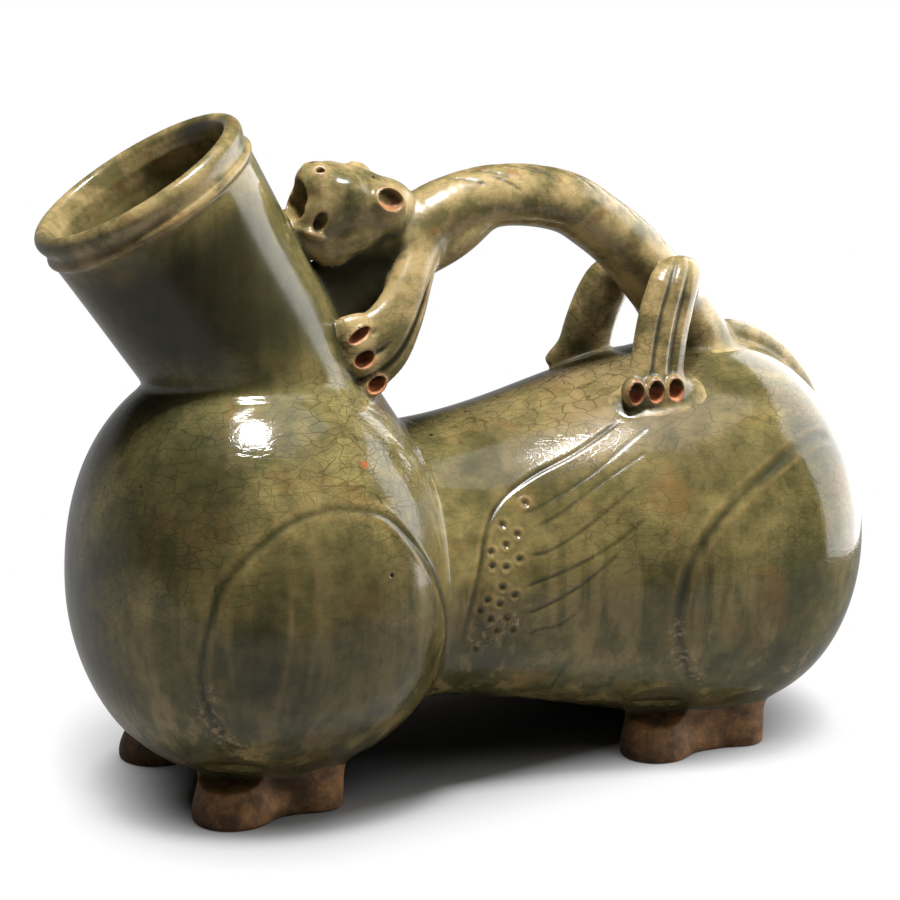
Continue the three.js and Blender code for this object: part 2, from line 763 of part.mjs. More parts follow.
// Assembly
function assemble() {
  const group = new THREE.Group();
  const add = (name, solid, material) => {
    const mesh = new THREE.Mesh(toGeometry(solid), material);
    mesh.name = name;
    group.add(mesh);
  };
  const body = bodyCutter();
  const neck = neckCutter();
  const head = headShell(lutingGap);
  const trunk = trunkSolid(lutingGap);
  add('front_globe', frontGlobe(), celadonGlaze());
  add('rear_body', rearBody(), celadonGlaze());
  add('neck_tube', neckTube(body), celadonGlaze());
  add('handle_trunk', trimmed(trunkSolid(0), [body, neck, head]), celadonGlaze());
  add('beast_head', beastHead(neck), celadonGlaze());
  for (const [word, side] of [['left', 1], ['right', -1]]) {
    add(`beast_ear_${word}`, beastEar(side, head), celadonGlaze());
    add(`foreleg_${word}`, foreleg(side, [body, neck, trunk, head]), celadonGlaze());
    add(`hind_leg_${word}`, hindLeg(side, [body, trunk]), celadonGlaze());
    add(`foot_front_${word}`, frontFoot(side, body), bareClay());
    add(`foot_rear_${word}`, rearFoot(side, body), bareClay());
  }
  add('tail', tail([body, trunk]), celadonGlaze());
  return group;
}

const vessel = assemble();
const extent = new THREE.Box3().setFromObject(vessel);
const middle = extent.getCenter(new THREE.Vector3());
vessel.position.set(-middle.x, -middle.y, -extent.min.z);
vessel.updateMatrixWorld(true);

export default vessel;
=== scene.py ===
"""Celadon animal-shaped vessel in Blender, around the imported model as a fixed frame.

Forms are worked out in millimetres, from the middle of the front lobe and with the floor at height 0,
and set in the frame, in metres, when a mesh is made. The beast's left side is towards -Y.
"""
import math

import bpy
import numpy as np
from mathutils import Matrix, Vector


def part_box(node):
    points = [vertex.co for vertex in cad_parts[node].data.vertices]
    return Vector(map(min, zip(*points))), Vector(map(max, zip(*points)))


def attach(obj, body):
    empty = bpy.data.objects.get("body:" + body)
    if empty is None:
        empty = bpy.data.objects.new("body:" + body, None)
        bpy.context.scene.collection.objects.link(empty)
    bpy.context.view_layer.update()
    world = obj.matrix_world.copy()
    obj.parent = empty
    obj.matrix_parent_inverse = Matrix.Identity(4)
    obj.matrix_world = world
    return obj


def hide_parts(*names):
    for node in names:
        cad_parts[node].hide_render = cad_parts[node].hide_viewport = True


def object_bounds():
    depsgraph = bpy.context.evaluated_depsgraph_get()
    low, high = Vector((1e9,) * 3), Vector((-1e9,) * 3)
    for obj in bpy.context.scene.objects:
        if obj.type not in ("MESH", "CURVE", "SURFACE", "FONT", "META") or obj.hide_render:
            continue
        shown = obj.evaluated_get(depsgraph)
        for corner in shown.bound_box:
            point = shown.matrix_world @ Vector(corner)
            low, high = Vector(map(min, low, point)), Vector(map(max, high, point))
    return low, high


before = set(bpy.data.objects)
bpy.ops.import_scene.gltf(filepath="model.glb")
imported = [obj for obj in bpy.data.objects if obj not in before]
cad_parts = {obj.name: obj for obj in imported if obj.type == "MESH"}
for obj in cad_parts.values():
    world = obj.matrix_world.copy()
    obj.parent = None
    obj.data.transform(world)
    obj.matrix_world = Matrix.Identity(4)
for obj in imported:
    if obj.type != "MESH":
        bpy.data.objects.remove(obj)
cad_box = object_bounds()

MM = 0.001

# Body
FRONT_RADIUS = 60.0
FRONT_HALF_LENGTH = 57.0
FRONT_CROWN = 69.0
FRONT_POWER = 2.3
REAR_RADIUS = 60.5
REAR_WIDEST = 150.0
REAR_END_LENGTH = 47.3
REAR_END_POWER = 2.26
REAR_LENGTH = REAR_WIDEST + REAR_END_LENGTH
WAIST_RADIUS = 43.0
WAIST_X = FRONT_HALF_LENGTH * (1 - (WAIST_RADIUS / FRONT_RADIUS) ** FRONT_POWER) ** (1 / FRONT_POWER)
WAIST_SOFTNESS = 3.0
AXIS_HEIGHT = 64.0
BODY_WALL = 5.5
BODY_SPACING = 0.6
BODY_COLUMNS = int(2 * math.pi * FRONT_RADIUS / BODY_SPACING)
BODY_SWELL = 0.16
INNER_SPACING = 4.0
POLE_GAP = 0.7
INNER_POLE_GAP = 0.4

# Neck
NECK_TILT = math.radians(30.7)
NECK_LEAN = math.radians(2.3)
NECK_ROOT = np.array([37.9, 0.0, AXIS_HEIGHT])
NECK_LENGTH = 142.5
NECK_BASE_RADIUS = 28.3
NECK_MOUTH_RADIUS = 33.3
NECK_FLARE_START = 62.0
NECK_WALL = 4.6
NECK_HOLE_RADIUS = 19.0
LIP_RADIUS = 34.2
LIP_HEIGHT = 6.0
LIP_BEVEL = 2.6
RIDGE_DROP = 9.2
RIDGE_RADIUS = 1.5
NECK_AXIS = np.array([-math.sin(NECK_TILT), math.tan(NECK_LEAN), math.cos(NECK_TILT)])
NECK_AXIS = NECK_AXIS / np.linalg.norm(NECK_AXIS)

# Trunk of the beast, the arched handle
ARCH_TOP = (82.0, 174.4)
ARCH_FRONT = (-60.0, 40.0)
ARCH_REAR = (71.0, 60.0)
TRUNK_HALF_WIDTH = 9.8
TRUNK_HALF_HEIGHT = 9.6
CHEST_HALF_WIDTH = 7.5
CHEST_HALF_HEIGHT = 18.0
ARMPIT_WEB = (63.4, 0, 162.2)
ARMPIT_WEB_SIZES = (17.0, 9.5, 5.5)
ARMPIT_WEB_AXES = [(0.85, 0, 0.53), (0, 1, 0), (-0.53, 0, 0.85)]
CHEST_SHARES = [[1, 0.98, 1, 1.2], [0.84, 0.72, 1, 1]]
SHOULDER_SHARES = [[0.62, 0.38, 1.08, 1.24], [0.42, 0.13, 1.1, 1.02], [0.22, 0.02, 1, 0.96]]
RUMP_SHARES = [
    [0, 0, 1, 0.98], [0.17, 0.025, 1, 0.98], [0.3, 0.075, 1, 0.98], [0.42, 0.17, 1, 0.98],
    [0.56, 0.3, 1, 1.02], [0.7, 0.48, 1.04, 1.06], [0.83, 0.67, 1.1, 1.08], [0.94, 0.86, 1.15, 1.1],
    [1.01, 1.05, 1.18, 1.1]]

# Head of the beast
HEAD_PITCH = math.radians(20)
HEAD_ROLL = math.radians(10)
HEAD_YAW = math.radians(10)
HEAD_MIDDLE = np.array([29.0, 0.0, 173.0])

# Forelegs
FORE_SHOULDER = (50.5, 162.0)
FORE_PAW = (26.6, 133.0)
FORE_SPREAD = 16.4
FORE_HALF_WIDTH = 7.2
FORE_HALF_THICKNESS = 5.0
FORE_PAW_HALF_WIDTH = 13.0
FORE_TOE_TURN = math.radians(58)
FORE_TOES = [(24.6, 139.6), (26.0, 132.4), (30.0, 124.4)]
FORE_TOE_SIZES = [(3.7, 1.6, 4.4), (3.2, 2.3, 4.6), (3.1, 2.3, 4.6)]
TOE_WALL = np.array([1.2, 1.2, -0.6])
FORE_GROOVES = [(-0.5, 0.62, 1.0), (0.02, 0.6, 1.1), (0.5, 0.1, 1.5)]
FORE_SHARES = [
    [0, 0, 0.42, 0.8, 0.9], [0.25, 0.35, 0.72, 0.96, 1], [0.5, 0.68, 0.91, 1.2, 1],
    [0.74, 0.89, 1, 1.5, 0.94]]

# Hind legs
HIND_HIP_X = 137.0
HIND_KNEE_HEIGHT = 149.8
HIND_PAW = (119.5, 27.0, 114.5)
HIND_HALF_WIDTH = 8.8
HIND_HALF_THICKNESS = 4.6
HIND_PAW_HALF_WIDTH = 11.6
HIND_SHARES = [
    [0, 0.2, 0.68, 0.84, 1.1], [0.08, 0.42, 0.9, 0.8, 1.2], [0.28, 0.62, 0.98, 0.78, 1.2],
    [0.5, 0.75, 0.9, 0.9, 1.1], [0.68, 0.81, 0.7, 0.99, 1], [0.83, 0.86, 0.45, 1, 1],
    [0.93, 0.91, 0.2, 1.02, 1]]
HIND_FAR_DROP = 4.0
HIND_GROOVES = (-0.36, 0.3)
HIND_TOE_HOLLOW = (2.5, 4.0, 3.3)
# For each side: places of the toes along the paw, and half sizes of a toe
HIND_TOES = {1: ((-9.3, -2.6, 4.1), (3.6, 4.2, 4.4)), -1: ((-3.6, 1.0, 5.6), (3.2, 3.8, 3.0))}

# Tail
TAIL_RADII = (3.7, 2.5)
TAIL_START = 9.0
TAIL_SUNK_SHARE = 0.4
TAIL_SWEEP = math.radians(78)

# Feet: toe middle along and across, toe radius, heel radius and length
FEET = {
    "foot_front_left": (-20.2, -28.2, 12.0, 8.4, 27.0),
    "foot_front_right": (-23.2, 32.0, 12.0, 8.4, 27.0),
    "foot_rear_left": (119.5, -30.0, 11.0, 8.5, 30.0),
    "foot_rear_right": (119.5, 33.0, 11.0, 8.5, 30.0),
}
FOOT_BRIDGE = 5.6
FOOT_SCOOP = (13.5, 13.0, 6.0)

FAR = 20.0
SHIFT = np.array([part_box("front_globe")[0][0] / MM + FRONT_HALF_LENGTH, 0.0, 0.0])


# Camera

def make_camera():
    azimuth = math.radians(-24.2)
    elevation = math.radians(14.0)
    distance = 0.866
    target = Vector(((62.6 + SHIFT[0]) * MM, 0, 96.7 * MM))
    back = Vector((
        math.sin(azimuth) * math.cos(elevation),
        -math.cos(azimuth) * math.cos(elevation),
        math.sin(elevation)))
    data = bpy.data.cameras.new("view_camera")
    data.sensor_width = 36
    data.lens = 112.96
    data.clip_start = 0.05
    data.clip_end = 50
    camera = bpy.data.objects.new("view_camera", data)
    camera.location = target + back * distance
    camera.rotation_euler = back.to_track_quat("Z", "Y").to_euler()
    bpy.context.scene.collection.objects.link(camera)
    bpy.context.scene.camera = camera


make_camera()


# Small helpers

def smooth_step(value, low, high):
    share = np.clip((value - low) / (high - low), 0, 1)
    return share * share * (3 - 2 * share)


def soft_min(a, b, reach):
    """The lower of two, rounded where they are nearer to each other than reach."""
    near = np.maximum(reach - np.abs(a - b), 0) / reach
    return np.minimum(a, b) - near ** 3 * reach / 6


def soft_max(a, b, reach):
    return -soft_min(-a, -b, reach)


def unevenness(x, y, z):
    """Slow waves of the hand-built surface, about -1 to 1."""
    waves = np.sin(x / 9.1 + 1.3 * np.sin(z / 13.7)) * np.cos(y / 11.3 + 0.6)
    waves = waves + np.sin(z / 7.9 + 1.1 * np.sin(x / 17.3) + 2.1) * np.cos(y / 8.3 - 1.2)
    return waves / 2


def spline(points, count):
    """Samples of a centripetal Catmull-Rom curve through points."""
    known = np.array(points, float)
    known = np.vstack([2 * known[0] - known[1], known, 2 * known[-1] - known[-2]])
    samples = []
    for share in np.linspace(0, 1, count):
        place = share * (len(points) - 1)
        index = min(int(place), len(points) - 2)
        w = place - index
        a, b, c, d = known[index:index + 4]
        gaps = [max(np.linalg.norm(q - p), 1e-6) ** 0.5 for p, q in ((a, b), (b, c), (c, d))]
        start = (b - a) / gaps[0] - (c - a) / (gaps[0] + gaps[1]) + (c - b) / gaps[1]
        end = (c - b) / gaps[1] - (d - b) / (gaps[1] + gaps[2]) + (d - c) / gaps[2]
        start = start * gaps[1]
        end = end * gaps[1]
        samples.append(
            b + start * w + (3 * (c - b) - 2 * start - end) * w * w + (2 * (b - c) + start + end) * w ** 3)
    return np.array(samples)


# Body profile

def body_radius(x):
    """Radius of the body's outside at places along its axis, with the crease at the waist softened."""
    x = np.asarray(x, float)
    share = np.clip(np.abs(x) / FRONT_HALF_LENGTH, 0, 1)
    front = FRONT_RADIUS * (1 - share ** FRONT_POWER) ** (1 / FRONT_POWER)
    share = np.clip((x - WAIST_X) / (REAR_WIDEST - WAIST_X), 0, 1)
    rear = WAIST_RADIUS + (REAR_RADIUS - WAIST_RADIUS) * share * share * (3 - 2 * share)
    rear = rear - 1.2 * np.maximum(WAIST_X - x, 0)
    share = np.clip((x - REAR_WIDEST) / REAR_END_LENGTH, 0, 1)
    rear_end = REAR_RADIUS * np.sqrt(1 - share ** REAR_END_POWER)
    rear = np.where(x > REAR_WIDEST, rear_end, rear)
    return soft_max(front, rear, WAIST_SOFTNESS)


def crown_scale(x):
    fade = 1 - np.clip(x / WAIST_X, 0, 1) ** 2
    return 1 + (FRONT_CROWN / FRONT_RADIUS - 1) * fade


def profile_table():
    """Places along the axis, with the radius and the length of the profile up to there."""
    front = -FRONT_HALF_LENGTH * np.cos(np.linspace(0, math.pi / 2, 1500))
    rear = REAR_WIDEST + REAR_END_LENGTH * np.sin(np.linspace(0, math.pi / 2, 1500))
    x = np.concatenate([front[:-1], np.linspace(0, REAR_WIDEST, 3000)[:-1], rear])
    radius = body_radius(x)
    radius[0] = 0
    radius[-1] = 0
    length = np.concatenate([[0], np.cumsum(np.hypot(np.diff(x), np.diff(radius)))])
    return x, radius, length


PROFILE_X, PROFILE_RADIUS, PROFILE_LENGTH = profile_table()
PROFILE_SLOPE = np.gradient(PROFILE_RADIUS, PROFILE_X)


def body_distance(x, y, z):
    """About how far places lie outside the body."""
    rise = z - AXIS_HEIGHT
    rise = np.where(rise > 0, rise / crown_scale(x), rise)
    around = np.sqrt(y * y + rise * rise)
    slope = np.interp(x, PROFILE_X, PROFILE_SLOPE)
    middle = (around - np.interp(x, PROFILE_X, PROFILE_RADIUS)) / np.sqrt(1 + slope * slope)
    front_x = np.abs(x) / FRONT_HALF_LENGTH
    front_r = around / FRONT_RADIUS
    size = np.maximum((front_x ** FRONT_POWER + front_r ** FRONT_POWER), 1e-6) ** (1 / FRONT_POWER)
    steep = np.hypot(
        (front_x / size) ** (FRONT_POWER - 1) / FRONT_HALF_LENGTH,
        (front_r / size) ** (FRONT_POWER - 1) / FRONT_RADIUS)
    front = (size - 1) / np.maximum(steep, 1e-6)
    rear_x = np.maximum(x - REAR_WIDEST, 0) / REAR_END_LENGTH
    rear_r = around / REAR_RADIUS
    level = rear_x ** REAR_END_POWER + rear_r ** 2
    steep = np.hypot(
        REAR_END_POWER * rear_x ** (REAR_END_POWER - 1) / REAR_END_LENGTH, 2 * rear_r / REAR_RADIUS)
    rear = (level - 1) / np.maximum(steep, 1e-3)
    return np.where(x < 0, front, np.where(x > REAR_WIDEST, rear, middle))


# Carving on the body: strokes as places along the axis in millimetres and degrees above the axis

WING_EDGE = [
    (106, 56), (89, 48), (74, 42.5), (64, 36), (59, 29.5), (56, 22), (53.5, 11), (51, 0), (48.5, -16),
    (48, -21)]
FEATHERS = [
    [(112, 50), (105, 46.5), (91.5, 38.5), (80, 33), (71.5, 29.5), (67.5, 29)],
    [(109, 42), (98, 37), (88.5, 32), (78.5, 26), (70.5, 22.5)],
    [(103.5, 31.5), (95.5, 26.5), (87.5, 21), (79.5, 16), (73, 13), (66.5, 13)],
    [(104.5, 21), (95.5, 14.5), (86, 9), (76.5, 4.5), (71, 2.5), (66, 0.5)],
    [(95, 10), (86, 2), (79, -3.5), (71.5, -8), (67, -10)],
    [(82.5, -10.5), (77.5, -15.5), (72, -17), (68.5, -19.5)],
]
WING_DOTS = [
    (69.7, 32.5), (61.6, 25.5), (61.8, 17.5), (57, 15.5), (65.6, 21), (65.5, 11.5), (61.2, 9), (57, 10),
    (59.8, 1.5), (55.2, -3), (63.6, -2), (59, -5), (53, -7), (59, -16.5), (64, -16.5), (53.5, -25),
    (56.5, -11), (61.5, -11)]
REAR_HAUNCH = [
    (172, 41), (162.5, 38), (151, 33), (141, 27.5), (131.5, 21.5), (123, 14), (117, 5.5), (114.5, -2.5),
    (113.5, -10.5), (115, -20), (122, -36), (128, -43)]
FRONT_HAUNCH = [
    (-18.5, -52), (-31, -31), (-36, -16), (-35.5, -3), (-32.5, 9), (-30, 14), (-23.5, 20), (-15, 25),
    (-6, 28), (3, 29), (11, 28.5), (19.5, 27), (26.5, 21.5), (33, 14), (38, 4), (41.5, -9.5),
    (42, -25), (39, -42)]
RIBS = [
    [(-10.5, 23), (-11.5, 13.5), (-12.5, 3.5), (-14, -8.5), (-16, -26), (-18, -38)],
    [(-4, 23.5), (-4.5, 13), (-5.5, 1.5), (-6.5, -9), (-8, -23), (-10, -40)],
]
SCRATCH = [(83, -33), (82.5, -44), (83, -55)]

# Crusted glaze: places and width
CRUSTS = [
    ([(-33.5, -15), (-33.5, -31), (-30, -36), (-24, -41.5), (-18, -51)], 3.2),
    ([(52.5, -25.5), (55, -19.5), (59, -16.5), (66.5, -11.5), (64, -17)], 4.5),
    ([(114, -12), (114.5, -22), (121, -33), (128, -42)], 2.6)]

# Haunches: places, depth and width of the groove, depth and distance of its raised lip, strength and
# width of the pooled glaze and the share of the way where it is full, strength and distance of the
# thin glaze
HAUNCHES = [
    (REAR_HAUNCH, 0.42, 1.5, 0.16, 2.8, 0.85, 1.3, 0.25, 0.4, 2.9),
    (FRONT_HAUNCH, 0.3, 0.95, 0.12, 2.1, 0.8, 0.85, 0.0, 0.3, 2.3)]


class BodySpots:
    """Places on the body's outside with what it takes to measure from a stroke to them."""

    def __init__(self, x, angle):
        self.x = x
        self.high = np.degrees(np.arctan2(np.sin(angle), np.abs(np.cos(angle))))
        self.radius = np.maximum(np.interp(x, PROFILE_X, PROFILE_RADIUS), 1)
        slope = np.interp(x, PROFILE_X, PROFILE_SLOPE)
        self.steep = np.minimum(np.sqrt(1 + slope * slope), 6)
        self.across_scale = np.radians(self.radius)

    def stroke(self, points, reach=6.0):
        """Distance from a smooth stroke and the share of the way along it."""
        path = spline(points, 6 * len(points))
        best = np.full(self.x.shape, FAR)
        way = np.zeros(self.x.shape)
        margin = reach / 40 * 57.3
        box = (self.x > path[:, 0].min() - reach) & (self.x < path[:, 0].max() + reach)
        box &= (self.high > path[:, 1].min() - margin) & (self.high < path[:, 1].max() + margin)
        spots = np.nonzero(box)
        x, high, steep, scale = (
            values[spots] for values in (self.x, self.high, self.steep, self.across_scale))
        nearest, share = best[spots], way[spots]
        for index in range(len(path) - 1):
            start, end = path[index], path[index + 1]
            run_x, run_y = (end[0] - start[0]) * steep, (end[1] - start[1]) * scale
            off_x, off_y = (x - start[0]) * steep, (high - start[1]) * scale
            along = np.clip((off_x * run_x + off_y * run_y) / (run_x ** 2 + run_y ** 2), 0, 1)
            distance = np.hypot(off_x - along * run_x, off_y - along * run_y)
            closer = distance < nearest
            nearest = np.where(closer, distance, nearest)
            share = np.where(closer, (index + along) / (len(path) - 1), share)
        best[spots] = nearest
        way[spots] = share
        return best, way

    def point(self, x, high):
        return np.hypot((self.x - x) * self.steep, (self.high - high) * self.across_scale)


def line(distance, way, width, fade_in=0.04, fade_out=0.12):
    """Strength of a stroke, from 0 to 1, thinning at both ends."""
    ends = np.minimum(1, np.minimum(way / fade_in, (1 - way) / fade_out))
    hand = 0.85 + 0.15 * np.sin(way * 31 + 1)
    return np.exp(-(distance / width) ** 2) * np.clip(ends, 0, 1) * hand


def carve(spots):
    """Depth below the plain surface, and how far glaze pools, thins and crusts there."""
    depth, pool, thin, crust = np.zeros((4, *spots.x.shape))
    distance, way = spots.stroke(WING_EDGE)
    depth += 0.42 * line(distance, way, 0.6, 0.03, 0.1) - 0.06 * line(distance - 1.6, way, 0.9)
    pool = np.maximum(pool, line(distance, way, 0.85, 0.02, 0.3))
    thin = np.maximum(thin, 0.6 * line(distance - 1.6, way, 0.5) * smooth_step(way, 0.3, 0.6))
    for index, feather in enumerate(FEATHERS):
        distance, way = spots.stroke(feather)
        strong = 0.7 + 0.3 * way
        depth += (0.16 + 0.05 * index) * line(distance, way, 0.5) * strong
        pool = np.maximum(pool, line(distance, way, 0.55) * strong)
    for x, high in WING_DOTS:
        distance = spots.point(x, high)
        depth += 0.65 * np.exp(-(distance / 0.9) ** 2) - 0.22 * np.exp(-((distance - 1.7) / 0.6) ** 2)
        pool = np.maximum(pool, 0.85 * np.exp(-(distance / 1.0) ** 2))
        thin = np.maximum(thin, 0.35 * np.exp(-((distance - 1.8) / 0.8) ** 2))
    for points, deep, wide, lip, lip_off, pooled, pool_wide, pool_full, thinned, thin_off in HAUNCHES:
        distance, way = spots.stroke(points)
        depth += deep * line(distance, way, wide) - lip * line(distance - lip_off, way, 1.0)
        pooled = pooled * smooth_step(way, -0.1, pool_full)
        pool = np.maximum(pool, pooled * line(distance, way, pool_wide))
        thin = np.maximum(thin, thinned * line(distance - thin_off, way, 0.6))
    for rib in RIBS:
        distance, way = spots.stroke(rib)
        depth -= 0.2 * line(distance, way, 1.2, 0.2, 0.2)
        thin = np.maximum(thin, 0.22 * line(distance, way, 0.9, 0.2, 0.2))
    distance, way = spots.stroke(SCRATCH)
    depth += 0.3 * line(distance, way, 0.4, 0.3, 0.3)
    pool = np.maximum(pool, line(distance, way, 0.45, 0.3, 0.3))
    for patch, width in CRUSTS:
        distance, way = spots.stroke(patch, 10)
        crust = np.maximum(crust, line(distance, way, width, 0.1, 0.1))
    return depth, pool, thin, crust


# Meshes

def new_object(name, places, faces, normals, marks):
    """Mesh object from places in millimetres, faces of three or four corners and marks per vertex."""
    mesh = bpy.data.meshes.new(name)
    corners = np.concatenate([part.astype(np.int32).ravel() for part in faces])
    counts = np.concatenate([np.full(len(part), part.shape[1], np.int32) for part in faces])
    starts = np.concatenate([[0], np.cumsum(counts)[:-1]]).astype(np.int32)
    mesh.vertices.add(len(places))
    inside = np.clip((places + SHIFT) * MM, *np.array(cad_box))
    mesh.vertices.foreach_set("co", inside.astype(np.float32).ravel())
    mesh.loops.add(len(corners))
    mesh.loops.foreach_set("vertex_index", corners)
    mesh.polygons.add(len(counts))
    mesh.polygons.foreach_set("loop_start", starts)
    mesh.polygons.foreach_set("use_smooth", np.ones(len(counts), bool))
    mesh.update(calc_edges=True)
    for mark, values in marks.items():
        attribute = mesh.attributes.new(mark, "FLOAT", "POINT")
        attribute.data.foreach_set("value", values.astype(np.float32))
    mesh.normals_split_custom_set_from_vertices(normals.astype(np.float32))
    piece = bpy.data.objects.new(name, mesh)
    bpy.context.scene.collection.objects.link(piece)
    return piece


def used_only(places, faces, *arrays):
    """The same without the places that no face uses."""
    used = np.zeros(len(places), bool)
    for part in faces:
        used[part.ravel()] = True
    number = np.cumsum(used) - 1
    return places[used], [number[part] for part in faces], [values[used] for values in arrays]


def hand_over(piece, name, material):
    """Puts a piece on the vessel in the place of its solid."""
    piece.data.materials.append(material)
    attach(piece, "root")
    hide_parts(name)


# Body shells

def grid_faces(rows, columns):
    row = np.arange(rows - 1)[:, None] * columns
    here = np.arange(columns)[None, :]
    after = (here + 1) % columns
    quads = np.stack([row + here, row + after, row + columns + after, row + columns + here], -1)
    return quads.reshape(-1, 4)


def raised(rise, x):
    """Height of places above or below the axis, with the crown's stretch above it."""
    return AXIS_HEIGHT + np.where(rise > 0, rise * crown_scale(x), rise)


def outer_places(x, angle):
    """Places on the carved outside, with the marks that its glaze follows and the mark of painted shade."""
    spots = BodySpots(x, angle)
    depth, pool, thin, crust = carve(spots)
    radius = np.interp(x, PROFILE_X, PROFILE_RADIUS)
    slope = np.clip(np.interp(x, PROFILE_X, PROFILE_SLOPE), -30, 30)
    steep = np.sqrt(1 + slope * slope)
    swell = BODY_SWELL * unevenness(x, -np.cos(angle) * radius, np.sin(angle) * radius)
    sunk = (depth + BODY_SWELL - swell) * np.minimum(1, radius / 12)
    out = radius - sunk / steep
    places = np.stack([x + sunk * slope / steep, -np.cos(angle) * out, raised(np.sin(angle) * out, x)], -1)
    # The deep mark paints the neck's shadow on the lobe and darkens the inside of the haunch.
    return places, {"pool": pool, "thin": thin, "crust": crust, "deep": haunch_dark_and_neck_shadow(x, spots.high)}


def inner_places(x, angle):
    """Places on the plain inner side of the wall."""
    slope = np.clip(np.interp(x, PROFILE_X, PROFILE_SLOPE), -40, 40)
    steep = np.sqrt(1 + slope * slope)
    radius = np.maximum(np.interp(x, PROFILE_X, PROFILE_RADIUS) - BODY_WALL / steep, 0.3)
    inner_x = x + BODY_WALL * slope / steep
    return np.stack([inner_x, -np.cos(angle) * radius, raised(np.sin(angle) * radius, inner_x)], -1)


def haunch_dark_and_neck_shadow(x, high):
    """Share of darkening on the front lobe: inside the haunch, and painted shadow of the neck before its
    root.
    """
    haunch = np.hypot((x - 1) / 36, (high + 12) / 40)
    under_neck = np.hypot((x + 40) / 24, (high - 42) / 34)
    return np.maximum(
        0.62 * (1 - smooth_step(haunch, 0.62, 1.0)), 0.7 * (1 - smooth_step(under_neck, 0.5, 1.1)))


def neck_polar(places):
    """Way along the neck's axis and distance from it."""
    off = places - NECK_ROOT
    along = off @ NECK_AXIS
    return along, np.linalg.norm(off - along[..., None] * NECK_AXIS, axis=-1)


def lobe_grid(from_x, to_x, spacing, gap=0.0):
    """Places along the axis, evenly spaced along the profile from gap past the first, and all angles."""
    start, end = np.interp([from_x, to_x], PROFILE_X, PROFILE_LENGTH)
    start += math.copysign(gap, to_x - from_x)
    count = max(int(abs(end - start) / spacing), 2)
    x = np.interp(np.linspace(start, end, count), PROFILE_LENGTH, PROFILE_X)
    if gap:
        x = np.append(x, 2 * x[-1] - x[-2])
    return np.meshgrid(x, np.linspace(0, 2 * math.pi, BODY_COLUMNS, endpoint=False), indexing="ij")


def grid_normals(grid, sign):
    """Normals of a closed grid, away from the body's axis for sign 1 and towards it for -1."""
    around = np.roll(grid, -1, 1) - np.roll(grid, 1, 1)
    normals = np.cross(around, np.gradient(grid, axis=0))
    normals /= np.maximum(np.linalg.norm(normals, axis=-1, keepdims=True), 1e-9)
    return normals * sign * np.sign((normals[..., 1] * grid[..., 1]).sum())


def body_shell(pole_x):
    """One lobe from its pole to the waist: carved outside, plain inside, capped at the pole, with a rim."""
    inward = math.copysign(1, WAIST_X - pole_x)
    outer, marks = outer_places(*lobe_grid(pole_x, WAIST_X, BODY_SPACING, POLE_GAP))
    normals = grid_normals(outer, 1)[:-1]
    outer = outer[:-1]
    inner = inner_places(*lobe_grid(pole_x + INNER_POLE_GAP * inward, WAIST_X, INNER_SPACING))
    tips = [[pole_x, 0, AXIS_HEIGHT], [pole_x + BODY_WALL * inward, 0, AXIS_HEIGHT]]
    places = np.vstack([outer.reshape(-1, 3), inner.reshape(-1, 3), tips])
    normals = np.vstack([
        normals.reshape(-1, 3), grid_normals(inner, -1).reshape(-1, 3), [[-inward, 0, 0], [inward, 0, 0]]])
    inner_start = len(outer) * BODY_COLUMNS
    tip = len(places) - 2
    rim = inner_start - BODY_COLUMNS
    inner_rim = tip - BODY_COLUMNS
    here = np.arange(BODY_COLUMNS)
    after = (here + 1) % BODY_COLUMNS
    faces = {
        "outer": grid_faces(len(outer), BODY_COLUMNS),
        "inner": grid_faces(len(inner), BODY_COLUMNS)[:, ::-1] + inner_start,
        "cap": np.stack([np.full(BODY_COLUMNS, tip), after, here], -1),
        "inner_cap": np.stack([
            np.full(BODY_COLUMNS, tip + 1), inner_start + here, inner_start + after], -1),
        "rim": np.stack([rim + here, rim + after, inner_rim + after, inner_rim + here], -1),
    }
    if faces_point_inward(places, faces["outer"], normals):
        faces = {key: part[:, ::-1] for key, part in faces.items()}
    no_marks = np.zeros(len(places) - inner_start)
    marks = {name: np.append(values[:-1].ravel(), no_marks) for name, values in marks.items()}
    marks["bare"] = np.zeros(len(places))
    marks["warm"] = np.zeros(len(places))
    marks["inside"] = np.zeros(len(places))
    marks["inside"][inner_start:] = 1
    marks["inside"][tip] = 0
    return places, faces, normals, marks


def faces_point_inward(places, quads, normals):
    a, b, c = (places[quads[:, index]] for index in range(3))
    facing = np.cross(b - a, c - a)
    return (facing * normals[quads[:, 0]]).sum() < 0


